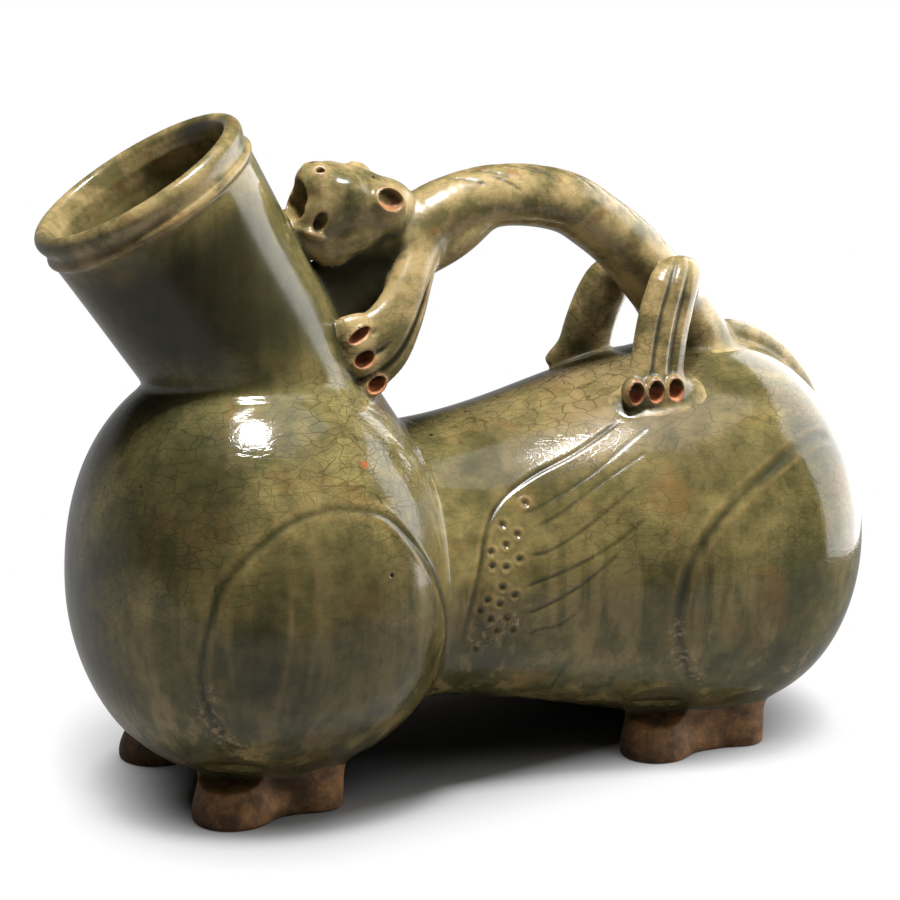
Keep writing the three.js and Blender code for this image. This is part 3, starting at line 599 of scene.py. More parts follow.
def cut_neck_hole(places, faces, marks):
    """Takes the faces out of the hole under the neck, rounds its edges and closes the wall there."""
    loops = []
    for key in ("outer", "inner"):
        quads = faces[key]
        along, away = neck_polar(places[quads].mean(1))
        gone = (away < NECK_HOLE_RADIUS) & (along > 20)
        faces[key] = quads[~gone]
        edge = np.intersect1d(quads[gone], faces[key])
        along, away = neck_polar(places[edge])
        off = places[edge] - NECK_ROOT - along[:, None] * NECK_AXIS
        places[edge] += off * ((NECK_HOLE_RADIUS - away) / away)[:, None]
        side = np.cross(NECK_AXIS, [0, 1.0, 0])
        turn = np.arctan2(off @ side, off[:, 1])
        order = np.argsort(turn)
        loops.append((edge[order], turn[order]))
    (outer, outer_turn), (inner, inner_turn) = loops
    wall = []
    i = j = 0
    while i < len(outer) or j < len(inner):
        a, b = outer[i % len(outer)], inner[j % len(inner)]
        next_outer = outer_turn[(i + 1) % len(outer)] + 2 * math.pi * ((i + 1) // len(outer))
        next_inner = inner_turn[(j + 1) % len(inner)] + 2 * math.pi * ((j + 1) // len(inner))
        if j >= len(inner) or (i < len(outer) and next_outer <= next_inner):
            wall.append((a, outer[(i + 1) % len(outer)], b))
            i += 1
        else:
            wall.append((a, inner[(j + 1) % len(inner)], b))
            j += 1
    wall = np.array(wall)
    a, b, c = (places[wall[:, index]] for index in range(3))
    middle = (a + b + c) / 3
    along, _ = neck_polar(middle)
    inward = NECK_ROOT + along[:, None] * NECK_AXIS - middle
    faces["wall"] = wall[:, ::-1] if (np.cross(b - a, c - a) * inward).sum() < 0 else wall
    marks["bare"][np.concatenate([outer, inner])] = 1


def make_body(material):
    for name, pole_x in (("front_globe", -FRONT_HALF_LENGTH), ("rear_body", REAR_LENGTH)):
        places, faces, normals, marks = body_shell(pole_x)
        if name == "front_globe":
            cut_neck_hole(places, faces, marks)
        places, faces, (normals, *values) = used_only(
            places, list(faces.values()), normals, *marks.values())
        piece = new_object(f"{name}_glazed", places, faces, normals, dict(zip(marks, values)))
        hand_over(piece, name, material)


# Forms made from distances on a lattice, so that they flow into each other as soft clay does

class Lattice:
    """Evenly spaced places in a box."""

    def __init__(self, low, high, step):
        self.step = step
        self.low = np.array(low, float)
        self.high = np.array(high, float)
        self.count = (np.ceil((self.high - self.low) / step) + 1).astype(int)

    def block(self, low, high):
        """Slices of the lattice inside a box, and the coordinates there."""
        first = np.clip(np.floor((np.array(low) - self.low) / self.step), 0, self.count - 1).astype(int)
        last = np.clip(np.ceil((np.array(high) - self.low) / self.step) + 1, 1, self.count).astype(int)
        slices = tuple(slice(a, max(b, a + 1)) for a, b in zip(first, last))
        axes = [self.low[i] + self.step * np.arange(slices[i].start, slices[i].stop) for i in range(3)]
        return slices, np.meshgrid(*axes, indexing="ij", sparse=True)

    def blank(self):
        return np.full(self.count, FAR, np.float32)


class Form:
    """One piece: distances from it on the lattice, kept only inside its own box."""

    def __init__(self, lattice, low, high):
        self.lattice = lattice
        self.slices, self.axes = lattice.block(low, high)
        self.low = lattice.low + lattice.step * np.array([part.start for part in self.slices])
        self.high = lattice.low + lattice.step * np.array([part.stop - 1 for part in self.slices])
        self.values = np.full([part.stop - part.start for part in self.slices], FAR, np.float32)

    def _part(self, low, high):
        low = np.maximum(low, self.low)
        high = np.minimum(high, self.high)
        if (low >= high).any():
            return None, None
        slices, axes = self.lattice.block(low, high)
        local = []
        for axis, (part, own) in enumerate(zip(slices, self.slices)):
            first, last = max(part.start, own.start), min(part.stop, own.stop)
            local.append(slice(first - own.start, last - own.start))
            inner = [slice(None)] * 3
            inner[axis] = slice(first - part.start, last - part.start)
            axes[axis] = axes[axis][tuple(inner)]
        return tuple(local), axes

    def join(self, shape, soft=0.0):
        low, high, distance = shape
        local, axes = self._part(low, high)
        if local is None:
            return
        new = distance(*axes)
        old = self.values[local]
        self.values[local] = soft_min(old, new, soft) if soft else np.minimum(old, new)

    def cut(self, shape, soft):
        low, high, distance = shape
        local, axes = self._part(low, high)
        if local is None:
            return
        self.values[local] = soft_max(self.values[local], -distance(*axes), soft)

    def cut_hollows(self):
        for hollow in self.hollows:
            self.cut(ellipsoid(*hollow), 0.5)


MARGIN = 7.0


def oval_distance(parts, halves):
    """About how far places lie outside an oval form, from their parts along its own directions."""
    first = np.sqrt(sum((part / half) ** 2 for part, half in zip(parts, halves)))
    second = sum((part / half ** 2) ** 2 for part, half in zip(parts, halves))
    return first * (first - 1) / np.sqrt(np.maximum(second, 1e-9))


def ellipsoid(middle, half_sizes, axes=np.eye(3), margin=MARGIN):
    """Box round an ellipsoid whose own directions are the rows of axes, and the distance from it."""
    half_sizes = np.array(half_sizes, float)
    axes = np.array(axes, float)
    reach = np.sqrt(((axes * half_sizes[:, None]) ** 2).sum(0)) + margin

    def distance(x, y, z):
        off = (x - middle[0], y - middle[1], z - middle[2])
        parts = [sum(part * share for part, share in zip(off, axis)) for axis in axes]
        return oval_distance(parts, half_sizes)

    return middle - reach, middle + reach, distance


def roll(form, middles, acrosses, sizes, carving=None):
    """Adds a rolled limb: a chain of short stretches with an oval section and rounded ends."""
    count = len(middles)
    forwards = np.gradient(middles, axis=0)
    forwards /= np.linalg.norm(forwards, axis=1, keepdims=True)
    acrosses = acrosses - (acrosses * forwards).sum(1, keepdims=True) * forwards
    acrosses /= np.linalg.norm(acrosses, axis=1, keepdims=True)
    frames = np.stack([acrosses, np.cross(forwards, acrosses), forwards], 1)
    for index in range(count - 1):
        start, end = middles[index], middles[index + 1]
        run = end - start
        reach = sizes[index:index + 2].max() + MARGIN

        def distance(x, y, z):
            off = (x - start[0], y - start[1], z - start[2])
            t = np.clip(sum(off[i] * run[i] for i in range(3)) / (run @ run), 0, 1)
            off = [off[i] - t * run[i] for i in range(3)]
            parts = []
            for first, second in zip(frames[index], frames[index + 1]):
                parts.append(sum(off[i] * (first[i] * (1 - t) + second[i] * t) for i in range(3)))
            wide, thick = (
                first * (1 - t) + second * t for first, second in zip(sizes[index], sizes[index + 1]))
            result = oval_distance(parts, (wide, thick, thick))
            if carving is not None:
                result = result + carving(parts[0] / wide, parts[1] / thick, (index + t) / (count - 1))
            return result

        form.join((np.minimum(start, end) - reach, np.maximum(start, end) + reach, distance))


def limb(form, stations, count, carving=None):
    """A roll through stations of middle, sideways direction, half width and half thickness."""
    middles = spline([station[0] for station in stations], count)
    acrosses = spline([station[1] for station in stations], count)
    sizes = spline([(station[2], station[3], 0) for station in stations], count)[:, :2]
    roll(form, middles, acrosses, sizes, carving)
    return middles


# The neck

def neck_inner_radius(along):
    throat = NECK_LENGTH - 2 * LIP_HEIGHT
    throat_radius = neck_radius(throat) - NECK_WALL
    return np.interp(
        along,
        [0, NECK_FLARE_START, throat, NECK_LENGTH - LIP_HEIGHT, NECK_LENGTH - 1.5],
        [NECK_BASE_RADIUS - NECK_WALL, NECK_BASE_RADIUS - NECK_WALL, throat_radius, 27.9, 29.2])


def neck_radius(along):
    share = np.maximum(0, (along - NECK_FLARE_START) / (NECK_LENGTH - LIP_HEIGHT - NECK_FLARE_START))
    return NECK_BASE_RADIUS + (NECK_MOUTH_RADIUS - NECK_BASE_RADIUS) * share


def neck_coordinates(x, y, z):
    off = (x - NECK_ROOT[0], y - NECK_ROOT[1], z - NECK_ROOT[2])
    along = off[0] * NECK_AXIS[0] + off[1] * NECK_AXIS[1] + off[2] * NECK_AXIS[2]
    square = off[0] ** 2 + off[1] ** 2 + off[2] ** 2
    return along, np.sqrt(np.maximum(square - along ** 2, 0))


def bore_distance(x, y, z):
    along, away = neck_coordinates(x, y, z)
    return away - neck_inner_radius(along)


def neck_distance(x, y, z):
    along, away = neck_coordinates(x, y, z)
    below_lip = along - NECK_LENGTH + LIP_HEIGHT / 2
    from_wall = away - neck_radius(along)
    sway = 0.25 * unevenness(x + 40, y, z)
    wall = soft_max(from_wall + sway, neck_inner_radius(along) - away, 1.5)
    wall = np.maximum(wall, below_lip)
    lip = np.hypot((away - LIP_RADIUS + LIP_BEVEL) / LIP_BEVEL, below_lip * 2 / LIP_HEIGHT)
    lip = (lip - 1) * LIP_BEVEL
    ridge = np.hypot(from_wall + 0.55, along - NECK_LENGTH + RIDGE_DROP) - RIDGE_RADIUS
    return soft_min(soft_min(wall, lip, 1.6), ridge, 1.2)


def neck_form(lattice):
    form = Form(lattice, (-80, -45, 90), (60, 52, 215))
    form.join((form.low, form.high, neck_distance))
    return form


# The beast

def trunk_stations():
    trunk = (TRUNK_HALF_WIDTH, TRUNK_HALF_HEIGHT)
    stations = []
    for (reach, drop), (half_width, half_height), rows in (
            (ARCH_FRONT, (CHEST_HALF_WIDTH, CHEST_HALF_HEIGHT), CHEST_SHARES),
            (ARCH_FRONT, trunk, SHOULDER_SHARES), (ARCH_REAR, trunk, RUMP_SHARES)):
        for along, down, wide, high in rows:
            middle = (ARCH_TOP[0] + reach * along, 0, ARCH_TOP[1] - drop * down)
            stations.append((middle, (0, -1, 0), half_width * wide, half_height * high))
    return stations


# Hair cuts on the trunk: share of the way and turn from the top towards a side, at both ends
HAIR_CUTS = [
    (0.27, 10, 0.33, 62), (0.31, 8, 0.37, 50), (0.33, 34, 0.385, 76), (0.36, 4, 0.43, 40),
    (0.40, 12, 0.46, 52), (0.44, 2, 0.51, 34), (0.49, 8, 0.55, 44), (0.55, 4, 0.61, 36),
    (0.62, 10, 0.67, 44), (0.69, 6, 0.745, 40)]
HAIR_WIDTH = 0.55
HAIR_DEPTH = 0.5
TRUNK_PATH_LENGTH = 215.0
TRUNK_TURN_LENGTH = 0.165


def hair(across, out, share):
    """Depth of the slanted hair cuts on the trunk's upper side, alike on both sides."""
    turn = np.degrees(np.arctan2(np.abs(across), -out))
    depth = 0.0
    for start, start_turn, end, end_turn in HAIR_CUTS:
        run = (end - start) * TRUNK_PATH_LENGTH
        rise = (end_turn - start_turn) * TRUNK_TURN_LENGTH
        off_x = (share - start) * TRUNK_PATH_LENGTH
        off_y = (turn - start_turn) * TRUNK_TURN_LENGTH
        along = (off_x * run + off_y * rise) / (run * run + rise * rise)
        inside = np.clip(along, 0, 1)
        distance = np.hypot(off_x - inside * run, off_y - inside * rise)
        fade = np.clip(np.minimum(along, 1 - along) / 0.2, 0, 1)
        depth = depth + HAIR_DEPTH * fade * np.exp(-(distance / HAIR_WIDTH) ** 2)
    return depth


def trunk_form(lattice):
    form = Form(lattice, (4, -24, 96), (172, 24, 200))
    form.path = limb(form, trunk_stations(), 64, hair)
    form.join(ellipsoid(ARMPIT_WEB, ARMPIT_WEB_SIZES, ARMPIT_WEB_AXES), 5)
    return form


def hair_share(path, places):
    """How far places on the trunk lie in a hair cut, from 0 to 1."""
    best = np.full(len(places), FAR)
    share = np.zeros(len(places))
    out = np.ones(len(places))
    for index in range(len(path) - 1):
        start, run = path[index], path[index + 1] - path[index]
        t = np.clip((places - start) @ run / (run @ run), 0, 1)
        off = places - start - t[:, None] * run
        away = np.linalg.norm(off, axis=1)
        closer = away < best
        best = np.where(closer, away, best)
        share = np.where(closer, (index + t) / (len(path) - 1), share)
        upward = np.array([-run[2], 0, run[0]]) / np.linalg.norm(run)
        out = np.where(closer, off @ upward, out)
    return np.clip(hair(places[:, 1], -out, share) / HAIR_DEPTH, 0, 1)


def beside(side, low, high):
    """A box on the beast's right, as given, or the like of it on its left, for side 1."""
    if side > 0:
        return (low[0], -high[1], low[2]), (high[0], -low[1], high[2])
    return low, high


def head_axes():
    """Forward, left and up of the head, which looks up, leans to its left and turns a little to it."""
    forward = np.array([-math.cos(HEAD_PITCH), 0, math.sin(HEAD_PITCH)])
    left = np.array([0, -1.0, 0])
    up = np.array([math.sin(HEAD_PITCH), 0, math.cos(HEAD_PITCH)])
    left, up = (
        math.cos(HEAD_ROLL) * left - math.sin(HEAD_ROLL) * up,
        math.cos(HEAD_ROLL) * up + math.sin(HEAD_ROLL) * left)
    forward, left = (
        math.cos(HEAD_YAW) * forward + math.sin(HEAD_YAW) * left,
        math.cos(HEAD_YAW) * left - math.sin(HEAD_YAW) * forward)
    return np.array([forward, left, up])


HEAD_AXES = head_axes()


def on_head(along, side, high):
    return HEAD_MIDDLE + np.array([along, side, high]) @ HEAD_AXES


def in_head(place, half_sizes, pitch=0.0):
    """An ellipsoid placed and turned with the head, tipped up further by pitch in degrees."""
    tip = math.radians(pitch)
    forward = math.cos(tip) * HEAD_AXES[0] + math.sin(tip) * HEAD_AXES[2]
    up = -math.sin(tip) * HEAD_AXES[0] + math.cos(tip) * HEAD_AXES[2]
    return ellipsoid(on_head(*place), half_sizes, [forward, HEAD_AXES[1], up])


SIDES = {"left": 1, "right": -1}
EAR_PLACE = (-5.2, 10.6, 8.0)
EAR_HOLLOW = (-4.3, 14.2, 9.6)
EAR_HOLLOW_SIZES = (4.1, 6.0, 2.9)
CANINE_HOLLOW = (12.8, 9.8, -3.5)
CANINE_HOLLOW_SIZES = (1.8, 4.5, 3.2)
NOSTRIL = (15.4, 3.1, 9.6)


def head_form(lattice):
    form = Form(lattice, (0, -26, 146), (68, 26, 206))
    form.join(in_head((0, 0, 4.2), (15.0, 12.2, 9.3)))
    form.join(in_head((8.3, 0, -1.8), (10.2, 10.2, 13.6)), 4)
    form.join(in_head((12.3, 0, 5.6), (7.4, 7.2, 6.4)), 3)
    form.join(in_head((14.8, 0, -7.8), (3.4, 6.4, 2.0)), 2.2)
    form.join(in_head((11.5, 0, -10.5), (5.5, 7.0, 4.5)), 3)
    form.join(in_head((-12, 0, 5.0), (9, 9.4, 7.6), -12), 5)
    for side in SIDES.values():
        form.join(in_head((-2.4, side * 6.3, -3.8), (11.4, 5.8, 5.3), -43), 4)
        form.join(in_head((-9.2, side * 7.6, 3.6), (5.8, 4.8, 5.2)), 3)
        form.join(in_head((6.2, side * 6.6, 7.6), (5.0, 4.1, 3.9)), 3)
        form.join(in_head((15.0, side * NOSTRIL[1], 8.4), (2.6, 2.4, 2.6)), 1.0)
        form.join(in_head((12.2, side * 7.6, -7.6), (3.8, 2.8, 1.9)), 1.4)
        form.join(in_head((4.4, side * 4.7, -11.8), (7.2, 4.9, 4.3)), 4)
    form.cut(in_head((18.6, 0, -0.6), (9.4, 4.4, 5.9)), 1.2)
    form.cut(in_head((17.6, 0, -2.9), (8.6, 4.9, 3.2)), 0.8)
    for side in SIDES.values():
        canine = (CANINE_HOLLOW[0], side * CANINE_HOLLOW[1], CANINE_HOLLOW[2])
        form.cut(in_head(canine, CANINE_HOLLOW_SIZES), 0.6)
        form.cut(in_head((NOSTRIL[0], side * NOSTRIL[1], NOSTRIL[2]), (3.6, 1.25, 1.25), 45), 0.5)
    return form


def ear_hollow(side):
    return EAR_HOLLOW[0], side * EAR_HOLLOW[1], EAR_HOLLOW[2]


def ear_form(lattice, side):
    form = Form(lattice, *beside(side, (20, 2, 158), (58, 30, 200)))
    along, across, high = EAR_PLACE
    form.join(in_head((along, side * across, high), (6.0, 4.3, 4.9)))
    form.join(in_head((along - 2.4, side * (across - 1.4), high - 4.0), (5.2, 3.8, 4.8)), 3)
    form.cut(in_head(ear_hollow(side), EAR_HOLLOW_SIZES), 0.8)
    return form


def foreleg_form(lattice, side):
    form = Form(lattice, *beside(side, (6, 4, 96), (66, 32, 176)))
    across = np.array([math.cos(FORE_TOE_TURN), 0, -math.sin(FORE_TOE_TURN)])
    stations = []
    for run, drop, spread, wide, thick in FORE_SHARES:
        middle = (
            FORE_SHOULDER[0] + (FORE_PAW[0] - FORE_SHOULDER[0]) * run,
            -side * FORE_SPREAD * spread,
            FORE_SHOULDER[1] + (FORE_PAW[1] - FORE_SHOULDER[1]) * drop)
        stations.append((middle, across, FORE_HALF_WIDTH * wide, FORE_HALF_THICKNESS * thick))
    paw = (FORE_PAW[0], -side * FORE_SPREAD, FORE_PAW[1])
    stations.append((paw, across, FORE_PAW_HALF_WIDTH, FORE_HALF_THICKNESS))

    def toe_grooves(wide, thick, share):
        depth = 0
        for place, start, deep in FORE_GROOVES:
            fade = smooth_step(share, start, start + 0.25)
            depth = depth + deep * fade * np.exp(-((wide - place) / 0.1) ** 2)
        return depth

    limb(form, stations, 34, toe_grooves)
    axes = np.array([(-math.sin(FORE_TOE_TURN), 0, -math.cos(FORE_TOE_TURN)), across, (0, -side, 0)])
    form.hollows = []
    for (x, z), sizes in zip(FORE_TOES, FORE_TOE_SIZES):
        form.hollows.append(((x, -side * (FORE_SPREAD + 4.2), z), sizes, axes))
        toe = (x, -side * (FORE_SPREAD + 1.6), z)
        form.join(ellipsoid(toe, sizes + TOE_WALL, axes), 0.8)
    form.cut_hollows()
    return form


def hind_leg_form(lattice, side):
    form = Form(lattice, *beside(side, (92, 0, 96), (160, 42, 168)))
    paw = np.array([HIND_PAW[0], -side * HIND_PAW[1], HIND_PAW[2]])
    rise = HIND_KNEE_HEIGHT - paw[2] - HIND_FAR_DROP * (side < 0)
    stations = []
    for run, spread, high, width, thick in HIND_SHARES:
        middle = (HIND_HIP_X + (paw[0] - HIND_HIP_X) * run, paw[1] * spread, paw[2] + rise * high)
        across = (1, 0, -0.2 * (1 - run))
        stations.append((middle, across, HIND_HALF_WIDTH * width, HIND_HALF_THICKNESS * thick))
    stations.append((paw, (1, 0, 0), HIND_PAW_HALF_WIDTH, HIND_HALF_THICKNESS))

    def shank_grooves(wide, thick, share):
        outer = np.clip(side * thick, 0, 1)
        lines = sum(np.exp(-((wide - place) / 0.13) ** 2) for place in HIND_GROOVES)
        return 1.7 * outer * lines * smooth_step(share, 0.22, 0.5) * np.clip((1 - share) / 0.08, 0, 1)

    limb(form, stations, 40, shank_grooves)
    toes, toe_sizes = HIND_TOES[side]
    form.hollows = []
    for toe in toes:
        place = paw + (toe, -side * 4.8, 2.0)
        form.hollows.append((place, HIND_TOE_HOLLOW, np.eye(3)))
        form.join(ellipsoid(place + (0, side * 2.4, 0.2), toe_sizes), 1.4)
    form.cut_hollows()
    return form


def tail_form(lattice):
    form = Form(lattice, (146, -12, 66), (204, 12, 140))
    stations = []
    for share in np.linspace(0, 1, 9):
        x = REAR_WIDEST + TAIL_START + (REAR_END_LENGTH - TAIL_START) * math.sin(TAIL_SWEEP * share)
        radius = TAIL_RADII[0] + (TAIL_RADII[1] - TAIL_RADII[0]) * share
        slope = np.interp(x, PROFILE_X, PROFILE_SLOPE)
        lift = radius * (1 - TAIL_SUNK_SHARE) / math.hypot(1, slope)
        high = AXIS_HEIGHT + np.interp(x, PROFILE_X, PROFILE_RADIUS) + lift
        stations.append(((x - lift * slope, 0, high), (0, -1, 0), radius, radius))
    limb(form, stations, 30)
    return form


# The feet

def foot_form(lattice, toe_x, toe_y, toe_radius, heel_radius, length):
    side = math.copysign(1, toe_y)
    form = Form(lattice, lattice.low, lattice.high)

    def distance(x, y, z):
        swell = 1 - 0.24 * smooth_step(z, 2, 14)
        across = y - toe_y + (1 - swell) * toe_radius * 0.5 * side
        toe = np.hypot(x - toe_x, across) - toe_radius * swell
        heel = np.hypot(x - toe_x - length, across) - heel_radius * (0.84 + 0.2 * smooth_step(z, 1, 16))
        nearest = np.clip(x, toe_x, toe_x + length)
        bridge = np.hypot(x - nearest, across) - FOOT_BRIDGE * swell
        outline = soft_min(soft_min(toe, bridge, 7), heel, 7)
        return soft_max(outline + 0.2 * unevenness(x * 2, y * 2, z * 2), -z, 1.6)

    form.join((form.low, form.high, distance))
    form.cut(ellipsoid((toe_x - 2.5, toe_y + 4.0 * side, 16.2), FOOT_SCOOP, margin=9), 1.6)
    return form


# From distances to surfaces

def sample(values, places):
    """Values of a lattice block between its points. places count in steps from its first point."""
    limit = np.array(values.shape) - 1.001
    places = np.clip(places, 0, limit)
    base = places.astype(int)
    x, y, z = (places - base).T
    i, j, k = base.T
    result = 0
    for a, wa in ((0, 1 - x), (1, x)):
        for b, wb in ((0, 1 - y), (1, y)):
            for c, wc in ((0, 1 - z), (1, z)):
                result = result + wa * wb * wc * values[i + a, j + b, k + c]
    return result


def gradient(values, places):
    parts = []
    for step in np.eye(3):
        parts.append((sample(values, places + step) - sample(values, places - step)) / 2)
    return np.stack(parts, -1)


def surface(values, wanted):
    """Places, in lattice steps, and faces of the surface where values pass zero, in wanted cells."""
    inside = values < 0
    corners = [(a, b, c) for a in (0, 1) for b in (0, 1) for c in (0, 1)]

    def corner(array, place):
        return array[tuple(slice(o, n - 1 + o) for o, n in zip(place, array.shape))]

    number = sum(corner(inside, place).astype(np.uint8) for place in corners)
    active = (number > 0) & (number < 8) & corner(wanted, (0, 0, 0))
    cells = np.argwhere(active)
    index = np.full(active.shape, -1, np.int32)
    index[tuple(cells.T)] = np.arange(len(cells))
    total = np.zeros((len(cells), 3))
    count = np.zeros(len(cells))
    for place in corners:
        for axis in range(3):
            if place[axis]:
                continue
            other = list(place)
            other[axis] = 1
            here = values[tuple((cells + place).T)]
            there = values[tuple((cells + other).T)]
            crosses = (here < 0) != (there < 0)
            share = np.where(crosses, here / np.where(crosses, here - there, 1), 0)
            point = np.array(place) + share[:, None] * np.eye(3)[axis]
            total += point * crosses[:, None]
            count += crosses
    places = cells + total / count[:, None]
    quads = []
    for axis in range(3):
        u, v = [(1, 2), (2, 0), (0, 1)][axis]
        here = np.take(inside, np.arange(inside.shape[axis] - 1), axis)
        there = np.take(inside, np.arange(1, inside.shape[axis]), axis)
        edges = np.argwhere(here != there)
        edges = edges[(edges[:, u] > 0) & (edges[:, v] > 0)]
        edges = edges[(edges[:, u] < inside.shape[u] - 1) & (edges[:, v] < inside.shape[v] - 1)]
        ring = []
        for du, dv in ((1, 1), (0, 1), (0, 0), (1, 0)):
            cell = edges.copy()
            cell[:, u] -= du
            cell[:, v] -= dv
            ring.append(index[tuple(cell.T)])
        quad = np.stack(ring, -1)
        outward = inside[tuple(edges.T)]
        quad = np.where(outward[:, None], quad, quad[:, ::-1])
        quads.append(quad[(quad >= 0).all(1)])
    return places, np.vstack(quads)


def smooth_surface(values, places):
    """Places moved onto the zero surface, and the normals there."""
    for _ in range(3):
        slope = gradient(values, places)
        square = np.maximum((slope ** 2).sum(1), 1e-4)
        move = sample(values, places) / square
        places = places - np.clip(move, -0.5, 0.5)[:, None] * slope
    slope = gradient(values, places)
    return places, slope / np.maximum(np.linalg.norm(slope, axis=1, keepdims=True), 1e-6)


def bend(values, places, reach):
    """How the surface bends there: above 0 on edges and below 0 in hollows."""
    total = -6 * sample(values, places)
    for axis in np.eye(3):
        total = total + sample(values, places + axis * reach) + sample(values, places - axis * reach)
    return total / reach


JOIN = 2.6
SOFT_JOIN = {"foreleg": 5.0, "hind": 4.0}
BODY_JOIN = 4.2


def make_pieces(lattice, forms, extra_marks, bore=False):
    """Joins forms to the body and to each other softly, and cuts the surface into named pieces."""
    _, axes = lattice.block(lattice.low, lattice.high)
    body = body_distance(*axes).astype(np.float32)
    joined = lattice.blank()
    nearest = lattice.blank()
    owner = np.full(lattice.count, -1, np.int16)
    for number, (name, form) in enumerate(forms.items()):
        part = form.slices
        joined[part] = soft_min(joined[part], form.values, SOFT_JOIN.get(name.split("_")[0], JOIN))
        closer = form.values < nearest[part]
        nearest[part] = np.where(closer, form.values, nearest[part])
        owner[part] = np.where(closer, number, owner[part])
    if bore:
        joined = soft_max(joined, -bore_distance(*axes), 1.0)
    values = soft_min(joined, body, BODY_JOIN)
    edge = smooth_step(joined, BODY_JOIN - 1.4, BODY_JOIN + 0.6)
    values = values + 0.3 * edge * (np.abs(values) < 3)
    places, quads = surface(values, joined < BODY_JOIN + 0.4)
    places, normals = smooth_surface(values, places)
    bending = bend(values, places, 1.2 / lattice.step)
    near_body = sample(body, places)
    chosen = owner[tuple(np.round(places[quads].mean(1)).astype(int).T)]
    places = lattice.low + places * lattice.step
    pieces = {}
    for number, name in enumerate(forms):
        part, faces, (part_normals, *measures) = used_only(
            places, [quads[chosen == number]], normals, bending, near_body)
        marks = extra_marks(name, part, part_normals, *measures)
        part[:, 2] = np.maximum(part[:, 2], 0)
        pieces[name] = new_object(f"{name}_modelled", part, faces, part_normals, marks)
    return pieces


def hollow_share(hollows, places, size=1.12):
    """How far places lie in given hollows, from 0 to 1."""
    result = np.zeros(len(places))
    for middle, half_sizes, axes in hollows:
        away = np.linalg.norm((places - middle) @ np.array(axes).T / half_sizes, axis=1)
        result = np.maximum(result, 1 - smooth_step(away, size - 0.14, size + 0.1))
    return result


def make_handle(material):
    lattice = Lattice((-78, -44, 92), (206, 52, 206), 0.55)
    forms = {
        "neck_tube": neck_form(lattice),
        "handle_trunk": trunk_form(lattice),
        "beast_head": head_form(lattice),
    }
    for word, side in SIDES.items():
        forms[f"beast_ear_{word}"] = ear_form(lattice, side)
        forms[f"foreleg_{word}"] = foreleg_form(lattice, side)
        forms[f"hind_leg_{word}"] = hind_leg_form(lattice, side)
    forms["tail"] = tail_form(lattice)

    def marks(name, places, normals, bending, near_body):
        pool = np.clip(-bending * 1.5 - 0.05, 0, 1)
        inside, hollow, lit, deep = np.zeros((4, len(places)))
        warm = np.ones(len(places))
        if name.startswith(("foreleg", "hind_leg")):
            hollow = hollow_share(forms[name].hollows, places)
            lit = smooth_step(normals[:, 2], -0.35, 0.4)
        elif name.startswith("beast_ear"):
            middle = on_head(*ear_hollow(SIDES[name.split("_")[-1]]))
            hollow = hollow_share([(middle, EAR_HOLLOW_SIZES, HEAD_AXES)], places, 1.0)
            lit = smooth_step(normals[:, 2], 0.1, 0.6)
        elif name == "neck_tube":
            along, away = neck_polar(places)
            drop = NECK_LENGTH - along
            inside = smooth_step(neck_inner_radius(along) + 1.2 - away, 0, 1) * smooth_step(drop, 24, 62)
            # Painted shade on the neck's front, below the lip's ridge and clear of the body, through the deep
            # mark.
            front = smooth_step(-normals[:, 1] - 0.35 * normals[:, 0], 0.2, 0.9)
            deep = front * smooth_step(drop, RIDGE_DROP + 2, RIDGE_DROP + 14) * smooth_step(near_body, 3, 16)
            warm = smooth_step(-drop, -RIDGE_DROP - 4, -RIDGE_DROP)
        elif name == "handle_trunk":
            # Painted shadow on the chest under the head, through the deep mark.
            deep = 1.2 * smooth_step(-places[:, 0], -60, -48) * smooth_step(-places[:, 2], -168, -158)
            pool = np.maximum(pool, 0.8 * hair_share(forms[name].path, places))
        # Bare clay shows on the lit, upward part of a hollow; the rest of the hollow gets painted shade
        # through the deep mark.
        bare = hollow * lit
        return {
            "pool": pool, "thin": np.clip(bending * 1.6 - 0.4, 0, 1), "bare": bare, "inside": inside,
            "deep": deep + hollow * (1 - bare), "warm": warm}

    for name, piece in make_pieces(lattice, forms, marks, bore=True).items():
        hand_over(piece, name, material)


def make_feet(material):
    def marks(_, places, normals, bending, near_body):
        return {
            "pool": np.clip(-bending * 0.8, 0, 1),
            "thin": np.clip(bending * 1.2 - 0.3, 0, 1),
            "bare": smooth_step(near_body, 1.0, 1.9)}

    for name, (toe_x, toe_y, toe_radius, heel_radius, length) in FEET.items():
        lattice = Lattice(
            (toe_x - toe_radius - 7, toe_y - toe_radius - 7, -2.25),
            (toe_x + length + heel_radius + 8, toe_y + toe_radius + 7, 33), 0.5)
        form = foot_form(lattice, toe_x, toe_y, toe_radius, heel_radius, length)
        hand_over(make_pieces(lattice, {name: form}, marks)[name], name, material)


# Materials

GLAZE_IOR = 1.52
CLAY_IOR = 1.5


def linear(red, green, blue):
    """A colour written as 0 to 255, for a node's socket."""
    values = []
    for part in (red, green, blue):
        part = part / 255
        values.append(part / 12.92 if part <= 0.04045 else ((part + 0.055) / 1.055) ** 2.4)
    return (*values, 1.0)


